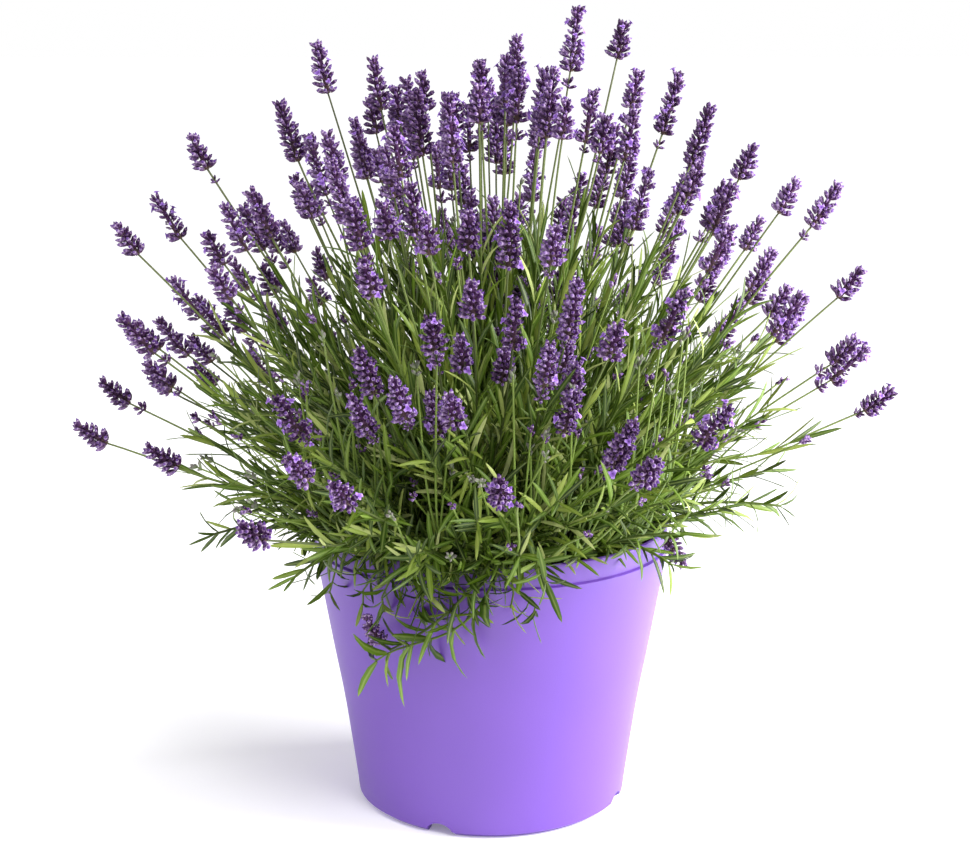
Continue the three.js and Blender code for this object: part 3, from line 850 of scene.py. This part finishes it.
# Flower head: whorls of calyces around a core, some of them open; pairs go from foot to top
head = {
    "step": 3.7, "perWhorl": 9, "topWhorl": 7, "tilt": (60, 26), "tiltJitter": 14, "turn": 0.4,
    "offset": (2.1, 1.0), "size": (1.02, 0.9), "sizeJitter": 0.22, "rise": 2.0, "jitter": 0.35,
    "fewerBy": 2, "narrowBy": 2.2,  # powers of the share of the way up
    "coreRadius": 1.6, "coreSides": 5, "coreFoot": 1, "coreTop": 3, "coreReach": 2, "coreTone": 0.2,
    "seed": 900, "whorls": (2, 3, 4), "variants": 4, "openShare": (0.0, 0.03, 0.07, 0.15),
    "petalFrom": 0.72, "petalSize": (0.6, 0.85),
    "upturn": 0.3, "wide": (0.95, 1.1), "keepTone": 0.7,
}
# Small whorls below a head: height, number, tilt, offset and size of their calyces
remote = {
    "seed": 70, "variants": 3, "openStep": 0.08, "whorls": ((0, 6, 62, 0.9, 0.95), (2.2, 4, 40, 0.9, 0.85)),
    "extraShare": 0.4, "extraDrop": (6, 11), "extraSize": (0.6, 0.85), "intoStem": 2,
}


def addWhorl(parts, z, count, tilt, offset, size, openShare, turn, draw):
    up = np.array([0, 0, 1.0])
    for i in range(count):
        bearing = turn + (i + head["jitter"] * (draw() - 0.5)) * 2 * math.pi / count
        out = directionAt(math.pi / 2, bearing)
        along = leaned(up, out, tilt + head["tiltJitter"] * (2 * draw() - 1))
        own = size * (1 + head["sizeJitter"] * (2 * draw() - 1))
        root = out * offset + up * (z + head["rise"] * (draw() - 0.5))
        parts.append(copyForm(forms["calyx"], placeAt(root, along, -out, own), draw()))
        if draw() < openShare:
            mouth = root + along * floret["calyxLength"] * head["petalFrom"] * own
            size = own * between(draw, head["petalSize"])
            parts.append(copyForm(forms["petals"], placeAt(mouth, along, -out, size), draw()))


def modelHead(whorls, variant):
    draw = makeDraw(head["seed"] + 10 * whorls + variant)
    length = whorls * layout["whorlStep"] + layout["tipLength"]
    span = length - floret["calyxLength"] * head["size"][1]
    count = round(span / head["step"]) + 1
    radius = head["coreRadius"]
    rings = [(radius, -head["coreFoot"]), (radius, span), (radius / 2, length - head["coreTop"])]
    core = growRings("core", head["coreSides"], inMetres(rings), False)
    writeReach(core, length * mm * head["coreReach"])
    parts = [finishForm(core, materials["calyx"])]
    core.hide_render = False
    setTone(core, head["coreTone"])
    for w in range(count):
        share = w / (count - 1)
        fewer = (head["perWhorl"] - head["topWhorl"]) * share ** head["fewerBy"]
        pairs = (head["tilt"], head["offset"], head["size"])
        values = [low + (high - low) * share ** head["narrowBy"] for low, high in pairs]
        turn = w * head["turn"] + draw()
        around = round(head["perWhorl"] - fewer)
        addWhorl(parts, w * span / (count - 1), around, *values, head["openShare"][variant], turn, draw)
    obj = joinAs(f"headForm{whorls}{variant}", parts)
    obj.hide_render = True
    return obj


def modelRemote(variant):
    draw = makeDraw(remote["seed"] + variant)
    parts = []
    for whorl in remote["whorls"]:
        addWhorl(parts, *whorl, remote["openStep"] * variant, draw(), draw)
    obj = joinAs(f"remoteForm{variant}", parts)
    obj.hide_render = True
    return obj


materials = {
    "pot": purplePlastic(), "soil": darkSoil(), "bark": greyBark(), "stem": greenStem(),
    "leaf": narrowLeaf(), "calyx": violetCalyx(), "petal": lilacPetal(), "bud": greyBud(),
}
addCamera()
addStudio()
forms = {"calyx": modelCalyx("calyxForm", materials["calyx"]), "petals": modelPetals()}
forms["bud"] = modelCalyx("budForm", materials["bud"])
forms["leaves"] = [modelLeaf(n) for n in range(len(leaf["arches"]))]
forms["heads"] = {(w, v): modelHead(w, v) for w in head["whorls"] for v in range(head["variants"])}
forms["remotes"] = [modelRemote(v) for v in range(remote["variants"])]
print("forms modelled")


# Stems: bevelled curves made into meshes, with a bark foot on each branch
stem = {
    "radii": (0.9, 0.62), "step": 14, "bow": 5, "sunk": 4, "intoHead": 2,
    "barkRadii": (3.0, 2.4, 1.9), "barkKnee": 4, "barkOver": 1,
    "centre": (0, 0, 0.17), "reach": 0.33,  # in metres: tones run outwards from the centre
    "weld": 0.01,
}


def addSpline(curve, line, lengths, radii, slot=0):
    spline = curve.splines.new("POLY")
    spline.points.add(len(lengths) - 1)
    for point, s, radius in zip(spline.points, lengths, radii):
        point.co = (*(line["at"](s) * mm), 1)
        point.radius = radius
    spline.material_index = slot
    spline.use_smooth = True


# A stem that tapers evenly from one length of its line to another
def addStem(curve, line, start, end, count, radii):
    lengths = [start + (end - start) * i / count for i in range(count + 1)]
    addSpline(curve, line, lengths, [radii[0] + (radii[1] - radii[0]) * i / count for i in range(count + 1)])


def startCurve(name):
    curve = bpy.data.curves.new(name, "CURVE")
    curve.dimensions = "3D"
    curve.bevel_depth = mm
    curve.bevel_resolution = 1
    curve.use_fill_caps = True
    curve.materials.append(materials["stem"])
    curve.materials.append(materials["bark"])
    return curve


def finishCurve(name, curve, tone):
    obj = bpy.data.objects.new(name, curve)
    bpy.context.collection.objects.link(obj)
    selectOnly(obj)
    bpy.ops.object.convert(target="MESH")
    obj = bpy.context.object
    bpy.ops.object.mode_set(mode="EDIT")
    bpy.ops.mesh.select_all(action="SELECT")
    bpy.ops.mesh.remove_doubles(threshold=stem["weld"] * mm)
    closeEdit()
    rise = np.linalg.norm(readPlaces(obj) - np.array(stem["centre"]), axis=1)
    writeValues(obj, "reach", rise / stem["reach"])
    writeValues(obj, "rib", np.ones(len(rise)))
    setTone(obj, tone)
    return obj


# A line that bows sideways between two lengths
def bowed(line, start, end, amount, angle):
    def at(s):
        share = min(1.0, max(0.0, (s - start) / (end - start)))
        base = line["at"](s)
        return base + acrossAt(bowFrame, angle) * amount * math.sin(math.pi * share) ** 2
    bowFrame = frameAt(line, (start + end) / 2)
    return {"at": at, "side": line["side"]}


# The pot's wall, which leaves keep out of
wall = {"top": 187, "inner": 88, "outer": 93, "flare": 0.135}


def meetsWall(point):
    straight = math.hypot(point[0], point[1]) - wall["flare"] * point[2]
    return point[2] < wall["top"] and wall["inner"] < straight < wall["outer"]


# Leaves in pairs along a stem, each pair turned on by a quarter
def addLeafPairs(parts, line, places, turn, kind, draw):
    for i, s in enumerate(places):
        place = frameAt(line, s)
        for side in range(2):
            quarter = turn + (i % 2) * math.pi / 2 + side * math.pi
            out = acrossAt(place, quarter + leaf["turnJitter"] * (draw() - 0.5))
            along = leaned(place["along"], out, between(draw, kind["lean"]))
            size = between(draw, kind["length"]) / leaf["length"]
            reach = along * size * leaf["length"]
            if meetsWall(place["at"] + reach) or meetsWall(place["at"] + reach / 2):
                continue
            form = forms["leaves"][int(len(forms["leaves"]) * draw())]
            wide = kind["broad"] * between(draw, leaf["wide"]) * (1 / size) ** leaf["shortWide"]
            matrix = placeAt(place["at"] + out * leaf["lift"], along, out, size, wide)
            parts.append(copyForm(form, matrix, between(draw, kind["tones"])))


# Flowering branches
branchLeaves = {
    "from": 24, "fromJitter": 8, "step": 11, "until": 0.68,
    "length": (20, 38), "lean": (7, 24), "tones": (0.2, 1.0), "broad": 1.0,
}


def addRemote(heads, line, s, sizes, draw):
    place = frameAt(line, s)
    form = forms["remotes"][int(len(forms["remotes"]) * draw())]
    spin = acrossAt(place, 2 * math.pi * draw())
    size = between(draw, sizes) if sizes else 1.0
    heads.append(copyForm(form, placeAt(place["at"], place["along"], spin, size), draw(), head["keepTone"]))


def addHead(heads, line, s, whorls, draw):
    place = frameAt(line, s)
    form = forms["heads"][whorls, int(head["variants"] * draw())]
    spin = acrossAt(place, 2 * math.pi * draw())
    risen = place["along"] + np.array([0, 0, head["upturn"]])
    matrix = placeAt(place["at"], risen, spin, 1.0, between(draw, head["wide"]))
    heads.append(copyForm(form, matrix, draw(), head["keepTone"]))


def buildBranch(name, branch, draw):
    curve = startCurve(name)
    wood = [-layout["woodPeg"], stem["barkKnee"], layout["woodLength"] + stem["barkOver"]]
    addSpline(curve, branch["line"], wood, stem["barkRadii"], slot=1)
    leaves = []
    heads = []
    for one in branch["stalks"]:
        start = layout["woodLength"]
        end = headStart(one)
        line = bowed(one["line"], start, end, stem["bow"] * (2 * draw() - 1), 2 * math.pi * draw())
        count = math.ceil((end - start) / stem["step"])
        addStem(curve, line, start - stem["sunk"], end + stem["intoHead"], count, stem["radii"])
        first = branchLeaves["from"] + branchLeaves["fromJitter"] * draw()
        top = start + (end - start) * branchLeaves["until"]
        places = np.arange(first, top, branchLeaves["step"])
        addLeafPairs(leaves, line, places, one["turn"], branchLeaves, draw)
        addHead(heads, line, end, one["whorls"], draw)
        if one["remote"]:
            addRemote(heads, line, stemEnd(one) + remote["intoStem"], None, draw)
        elif draw() < remote["extraShare"]:
            addRemote(heads, line, end - between(draw, remote["extraDrop"]), remote["extraSize"], draw)
    stems = finishCurve(name, curve, draw())
    handIn(joinAs(f"{name}_stems", [stems, *leaves]), name)
    handIn(joinAs(f"{name}_heads", heads), name)


drawBranch = makeDraw(3131)
for k, branch in enumerate(branches):
    buildBranch(f"flowering_branch_{k + 1:02d}", branch, drawBranch)
print("flowering branches done")

# Leafy shoots that lean out over the rim, and trailing shoots with a small head
shootLeaves = {
    "from": 20, "step": 9, "short": 3,
    "length": (17, 29), "lean": (28, 54), "tones": (0.1, 0.9), "broad": 1.35,
}
tipLeaves = {"length": (12, 20), "lean": (12, 26), "tones": (0.1, 0.9), "broad": 1.0}
shootStem = {"radii": (1.5, 0.8), "peg": 11, "step": 8}
shootHead = {"form": (2, 1), "length": 26}


def buildShoot(name, line, length, bloomLength, draw):
    curve = startCurve(name)
    end = length - bloomLength
    addStem(curve, line, -shootStem["peg"], end, math.ceil(end / shootStem["step"]), shootStem["radii"])
    stems = finishCurve(name, curve, draw())
    leaves = []
    places = np.arange(shootLeaves["from"], end - shootLeaves["short"], shootLeaves["step"])
    addLeafPairs(leaves, line, places, draw(), shootLeaves, draw)
    if not bloomLength:
        addLeafPairs(leaves, line, [end - 1], draw(), tipLeaves, draw)
    handIn(joinAs(f"{name}_leaves", [stems, *leaves]), name)
    if bloomLength:
        place = frameAt(line, end)
        spin = acrossAt(place, draw())
        matrix = placeAt(place["at"], place["along"], spin, bloomLength / shootHead["length"])
        bloom = copyForm(forms["heads"][shootHead["form"]], matrix, draw(), head["keepTone"])
        handIn(joinAs(f"{name}_head", [bloom]), name)


drawShoot = makeDraw(4747)
for n, shoot in enumerate(leafyShoots):
    length = shoot["length"] + shoots["endLeaf"]
    buildShoot(f"leafy_shoot_{n + 1:02d}", shoot["line"], length, 0, drawShoot)
for n, shoot in enumerate(hanging):
    length = shoot["length"]
    buildShoot(f"trailing_shoot_{n + 1:02d}", shoot["line"], length, trailing["headLength"], drawShoot)
print("shoots done")


# A stem of the crown: its bearing wavers, and it is shorter towards the crown's edge.
def crownStem(direction, kind, draw):
    polar = math.acos(direction[2])
    bearing = math.atan2(direction[1], direction[0]) + kind["waver"] * (draw() - 0.5)
    outward = min(1, polar / math.radians(kind["lowest"]))
    root = kind["rootRadius"] * outward
    if kind["rootShare"]:
        root *= between(draw, kind["rootShare"])
    line = stemLine(bearing, root, polar * kind["upright"], polar, kind["bendLength"])
    shorter = 1 + (kind["sideShare"] - 1) * outward ** kind["fade"]
    length = between(draw, kind["length"]) * shorter
    return {"line": line, "length": length, "bearing": bearing, "outward": outward}


def addLeafyStem(group, line, length, kind, leaves, draw):
    count = math.ceil(length / kind["stemStep"])
    addStem(group["curve"], line, -kind["peg"], length, count, kind["radii"])
    first = kind["leafFrom"] + kind["fromJitter"] * draw()
    places = [*np.arange(first, length - 2, leaves["step"]), length - 1]
    addLeafPairs(group["leaves"], line, places, kind["leafTurn"] * draw(), leaves, draw)


def startGroups(name, count):
    return [{"curve": startCurve(f"{name}{n}"), "leaves": []} for n in range(count)]


# Each group's stems and leaves are one piece.
def finishGroups(name, groups, tone):
    for n, group in enumerate(groups):
        piece = f"{name}_{n + 1:02d}"
        stems = finishCurve(piece, group["curve"], tone)
        handIn(joinAs(piece, [stems, *group["leaves"]]))


# Leafy cushion: short shoots without flowers that fill the plant's foot; pairs of pairs go from
# the crown's middle to its edge
cushion = {
    "count": 210, "sectors": 6, "lowest": 92, "gather": 0.5, "waver": 0.2,
    "rootRadius": 98, "rootShare": (0.85, 1.0), "upright": 0.5, "bendLength": 46,
    "length": (80, 220), "sideShare": 0.38, "fade": 2,
    "peg": 8, "stemStep": 12, "radii": (1.0, 0.6), "tone": 0.4,
    "leafFrom": 12, "fromJitter": 6, "leafStep": ((11,), (7.5,)), "leafTurn": 3,
    "leafLength": ((26, 38), (13, 24)), "lean": ((7, 20), (22, 46)), "tones": (0.0, 0.98), "broad": 1.0,
}


def blend(pairs, share):
    inner, outer = pairs
    return tuple(a + (b - a) * share for a, b in zip(inner, outer))


def buildCushion(draw):
    sectors = startGroups("cushion", cushion["sectors"])
    for direction in spread(cushion["count"], cushion["lowest"], cushion["gather"]):
        shoot = crownStem(direction, cushion, draw)
        turn = shoot["bearing"] / (2 * math.pi)
        leaves = {"tones": cushion["tones"], "broad": cushion["broad"]}
        leaves["step"], = blend(cushion["leafStep"], shoot["outward"])
        leaves["length"] = blend(cushion["leafLength"], shoot["outward"])
        leaves["lean"] = blend(cushion["lean"], shoot["outward"])
        sector = sectors[int(turn * cushion["sectors"]) % cushion["sectors"]]
        addLeafyStem(sector, shoot["line"], shoot["length"], cushion, leaves, draw)
    finishGroups("leafy_cushion", sectors, cushion["tone"])


buildCushion(makeDraw(6161))
print("cushion done")

# Foliage that hangs over the rim, thickest at the front and left bare at the front's right
overhang = {
    "count": 42, "bare": (-62, -22), "thick": (-128, -72), "thickShare": 0.4,
    "route": ((84, 168), (97, 184), (110, 194), (119, 193), (125, 182), (128, 166), (130, 148)),
    "share": (0.42, 0.98), "waver": 9, "heightWaver": 3, "peg": 5, "stemStep": 9, "radii": (1.0, 0.6),
    "leafFrom": 6, "fromJitter": 5, "leafTurn": 3, "pieces": 4, "tone": 0.5,
}
hangingLeaves = {"step": 9, "length": (13, 25), "lean": (30, 62), "tones": (0.05, 0.95), "broad": 1.5}
sprig = {
    "route": (
        (4, -108, 190), (1, -120, 180), (-9, -125, 162), (-25, -126, 149),
        (-44, -122, 141), (-60, -117, 134), (-70, -112, 126),
    ),
    "leaves": {"step": 15, "length": (22, 34), "lean": (12, 52), "tones": (0.05, 0.95), "broad": 2.2},
}


def buildOverhang(draw):
    groups = startGroups("overhang", overhang["pieces"])
    routes = [(routeLine(sprig["route"]), 1.0, sprig["leaves"])]
    for n in range(overhang["count"]):
        bearing = 360 * draw() - 180
        if draw() < overhang["thickShare"]:
            bearing = between(draw, overhang["thick"])
        low, high = overhang["bare"]
        if low < bearing < high:
            continue
        points = []
        for radius, height in overhang["route"]:
            angle = math.radians(bearing + overhang["waver"] * (draw() - 0.5))
            raised = height + overhang["heightWaver"] * (draw() - 0.5)
            points.append((radius * math.cos(angle), radius * math.sin(angle), raised))
        routes.append((routeLine(points), between(draw, overhang["share"]), hangingLeaves))
    for n, (route, share, kind) in enumerate(routes):
        group = groups[n % overhang["pieces"]]
        addLeafyStem(group, route["line"], route["length"] * share, overhang, kind, draw)
    finishGroups("rim_foliage", groups, overhang["tone"])


buildOverhang(makeDraw(7373))
print("rim foliage done")

# Young stems with a few unripe buds at the end; some rise before the foliage at the front
young = {
    "count": 140, "lowest": 70, "gather": 0.5, "waver": 0.3,
    "rootRadius": 96, "rootShare": None, "upright": 0.8, "bendLength": 60,
    "length": (110, 240), "sideShare": 0.62, "fade": 1,
    "peg": 8, "stemStep": 14, "radii": (0.825, 0.5625), "bow": 9,
    "buds": (5, 11), "budsLength": 7, "budTurn": 2.4, "violetShare": 0.55,
    "tilt": (12, 54), "size": (0.6, 0.95),
}
foreStems = {
    "count": 34, "bearing": (-158, -22), "rise": (0.35, 1.25), "waver": 12,
    "route": ((92, 166), (99, 181), (106, 192), (116, 201), (127, 214), (136, 236), (142, 268), (147, 306)),
    "knee": 3,  # point of the route above which it stretches
}


def addYoungStem(curve, buds, line, length, draw):
    addStem(curve, line, -young["peg"], length, math.ceil(length / young["stemStep"]), young["radii"])
    form = forms["calyx" if draw() < young["violetShare"] else "bud"]
    for i in range(int(between(draw, young["buds"]))):
        place = frameAt(line, length - young["budsLength"] * draw())
        out = acrossAt(place, young["budTurn"] * i)
        along = leaned(place["along"], out, between(draw, young["tilt"]))
        matrix = placeAt(place["at"], along, -out, between(draw, young["size"]))
        buds.append(copyForm(form, matrix, draw()))


def frontStem(draw):
    bearing = between(draw, foreStems["bearing"])
    turn = foreStems["waver"] * (2 * draw() - 1)
    rise = between(draw, foreStems["rise"])
    knee = foreStems["route"][foreStems["knee"]]
    points = []
    for i, (radius, height) in enumerate(foreStems["route"]):
        angle = math.radians(bearing + turn * i / len(foreStems["route"]))
        share = rise if i > foreStems["knee"] else 1.0
        far = knee[0] + (radius - knee[0]) * share
        points.append((far * math.cos(angle), far * math.sin(angle), knee[1] + (height - knee[1]) * share))
    return routeLine(points)


def buildYoungStems(draw):
    curve = startCurve("young")
    buds = []
    for direction in spread(young["count"], young["lowest"], young["gather"]):
        made = crownStem(direction, young, draw)
        bow = young["bow"] * (2 * draw() - 1)
        line = bowed(made["line"], 0, made["length"], bow, 2 * math.pi * draw())
        addYoungStem(curve, buds, line, made["length"], draw)
    for n in range(foreStems["count"]):
        route = frontStem(draw)
        addYoungStem(curve, buds, route["line"], route["length"], draw)
    stems = finishCurve("young_stems", curve, 1.0)
    handIn(joinAs("young_stems", [stems, *buds]))


buildYoungStems(makeDraw(9191))
print("young stems done")

# Pot: outline in millimetres from the foot over the rim and down the inside to the floor
pot = {
    "sides": 128,
    "underside": ((77, 8), (79, 0.6), (79.6, 0), (83.8, 0), (84.5, 0.5)),
    "wall": ((88.4, 3.4), (90.6, 21), (97.2, 67), (104.6, 108), (115.6, 171)),
    "rim": (
        (115.6, 171.2), (114.6, 171.9), (113.9, 172.2), (114.1, 174), (114.8, 183.6), (114.5, 184.8),
        (113.6, 185.5), (112.9, 185.5), (112.2, 185.1), (111.9, 184.2),
    ),
    "inside": ((111.7, 168), (94.8, 67), (86.4, 14), (83.5, 11)),
    "wallSteps": 6, "smoothUnder": 32,
    "notchCount": 4, "notchBearing": -112, "notchWidth": 19, "notchHeight": 8,
    "notchSides": 40, "notchCentre": 86, "notchDepth": 30,
    "drainRadius": 5, "drainCentre": 64, "drainHeight": 9, "drainDepth": 12, "drainSides": 32,
}


# The wall's outline bulges a little between its points, as a smooth curve.
def wallCurve(points, steps):
    ends = [np.array(point, float) for point in (points[0], *points, points[-1])]
    made = []
    for p0, p1, p2, p3 in zip(ends, ends[1:], ends[2:], ends[3:]):
        for i in range(steps):
            made.append(tuple(hermite(p1, p2, (p2 - p0) / 2, (p3 - p1) / 2, i / steps)))
    return [*made, points[-1]]


def addCutter(sides, halfWidths, depth, centre, rotation=(0, 0, 0)):
    bpy.ops.mesh.primitive_cylinder_add(vertices=sides, depth=depth * mm, location=centre, rotation=rotation)
    cutter = bpy.context.object
    cutter.scale = (halfWidths[0] * mm, halfWidths[1] * mm, 1)
    bpy.ops.object.transform_apply(location=True, rotation=True, scale=True)
    return cutter


def buildPot():
    outline = [*pot["underside"], *wallCurve(pot["wall"], pot["wallSteps"]), *pot["rim"], *pot["inside"]]
    obj = growRings("pot_shell", pot["sides"], inMetres(outline), False)
    cutters = []
    for n in range(pot["notchCount"]):
        bearing = math.radians(pot["notchBearing"] + 360 * n / pot["notchCount"])
        out = Vector((math.cos(bearing), math.sin(bearing), 0))
        turn = (math.pi / 2, 0, bearing + math.pi / 2)
        notch = out * pot["notchCentre"] * mm
        halves = (pot["notchWidth"] / 2, pot["notchHeight"])
        cutters.append(addCutter(pot["notchSides"], halves, pot["notchDepth"], notch, turn))
        drain = (out * pot["drainCentre"] + Vector((0, 0, pot["drainHeight"]))) * mm
        halves = (pot["drainRadius"], pot["drainRadius"])
        cutters.append(addCutter(pot["drainSides"], halves, pot["drainDepth"], drain))
    cutter = joinAs("potCutterForm", cutters)
    applyModifier(obj, "BOOLEAN", operation="DIFFERENCE", object=cutter)
    cutter.hide_render = True
    giveMaterial(obj, materials["pot"])
    bpy.ops.object.shade_smooth_by_angle(angle=math.radians(pot["smoothUnder"]))
    handIn(obj, "pot")


# Soil: a lumpy top inside the wall, with crumbs on it
soil = {
    "sides": 96, "body": ((83.0, 11.5), (94.4, 67), (111.2, 166)), "edgeTop": 167.5, "rings": 14,
    "sunk": 2.5, "lumpyFrom": 166, "calmEdge": 2, "lump": 5, "lumpSize": 0.016, "lumpDepth": 4,
}
crumb = {
    "count": 600, "radius": 0.5, "rough": 0.1, "seed": 3, "lift": 0.6, "side": (0.3, 0.2, 0.9),
    "size": (0.8, 3.2), "wide": 0.8,
}


def buildSoil():
    edge = soil["body"][-1][0]
    tops = [edge * (1 - i / soil["rings"]) for i in range(1, soil["rings"])]
    surface = [(radius, soilLevel(radius) - soil["sunk"]) for radius in tops]
    outline = [*soil["body"], (edge, soil["edgeTop"]), *surface]
    obj = growRings("soil_body", soil["sides"], inMetres(outline), False)
    group = obj.vertex_groups.new(name="top")
    high = soil["lumpyFrom"] * mm
    far = (edge - soil["calmEdge"]) * mm
    group.add([v.index for v in obj.data.vertices if v.co.z > high and v.co.xy.length < far], 1.0, "REPLACE")
    clods = bpy.data.textures.new("clods", "CLOUDS")
    clods.noise_scale = soil["lumpSize"]
    clods.noise_depth = soil["lumpDepth"]
    settings = {"texture": clods, "texture_coords": "GLOBAL", "strength": soil["lump"] * mm}
    applyModifier(obj, "DISPLACE", vertex_group="top", direction="Z", **settings)
    giveMaterial(obj, materials["soil"])
    bpy.ops.object.shade_smooth()
    handIn(obj, "soil")


def buildCrumbs(draw):
    bpy.ops.object.select_all(action="DESELECT")
    bpy.ops.mesh.primitive_ico_sphere_add(subdivisions=1, radius=crumb["radius"] * mm)
    form = bpy.context.object
    form.name = "crumbForm"
    bpy.ops.object.mode_set(mode="EDIT")
    bpy.ops.transform.vertex_random(offset=crumb["rough"] * mm, seed=crumb["seed"])
    bpy.ops.object.mode_set(mode="OBJECT")
    writeReach(form, 1.0)
    form = finishForm(form, materials["soil"])
    side = np.array(crumb["side"])
    crumbs = []
    for n in range(crumb["count"]):
        radius = layout["soilRadius"] * math.sqrt(draw())
        point = directionAt(math.pi / 2, 2 * math.pi * draw()) * radius
        point[2] = soilLevel(radius) + crumb["lift"]
        along = directionAt(math.pi * draw(), 2 * math.pi * draw())
        small, big = crumb["size"]
        size = small + (big - small) * draw() ** 3
        crumbs.append(copyForm(form, placeAt(point, along, side, size, crumb["wide"]), draw()))
    handIn(joinAs("soil_crumbs", crumbs))


buildPot()
buildSoil()
buildCrumbs(makeDraw(8383))
print("pot and soil done")

bpy.context.view_layer.update()
for form in list(bpy.data.objects):
    if "Form" in form.name:
        bpy.data.objects.remove(form)
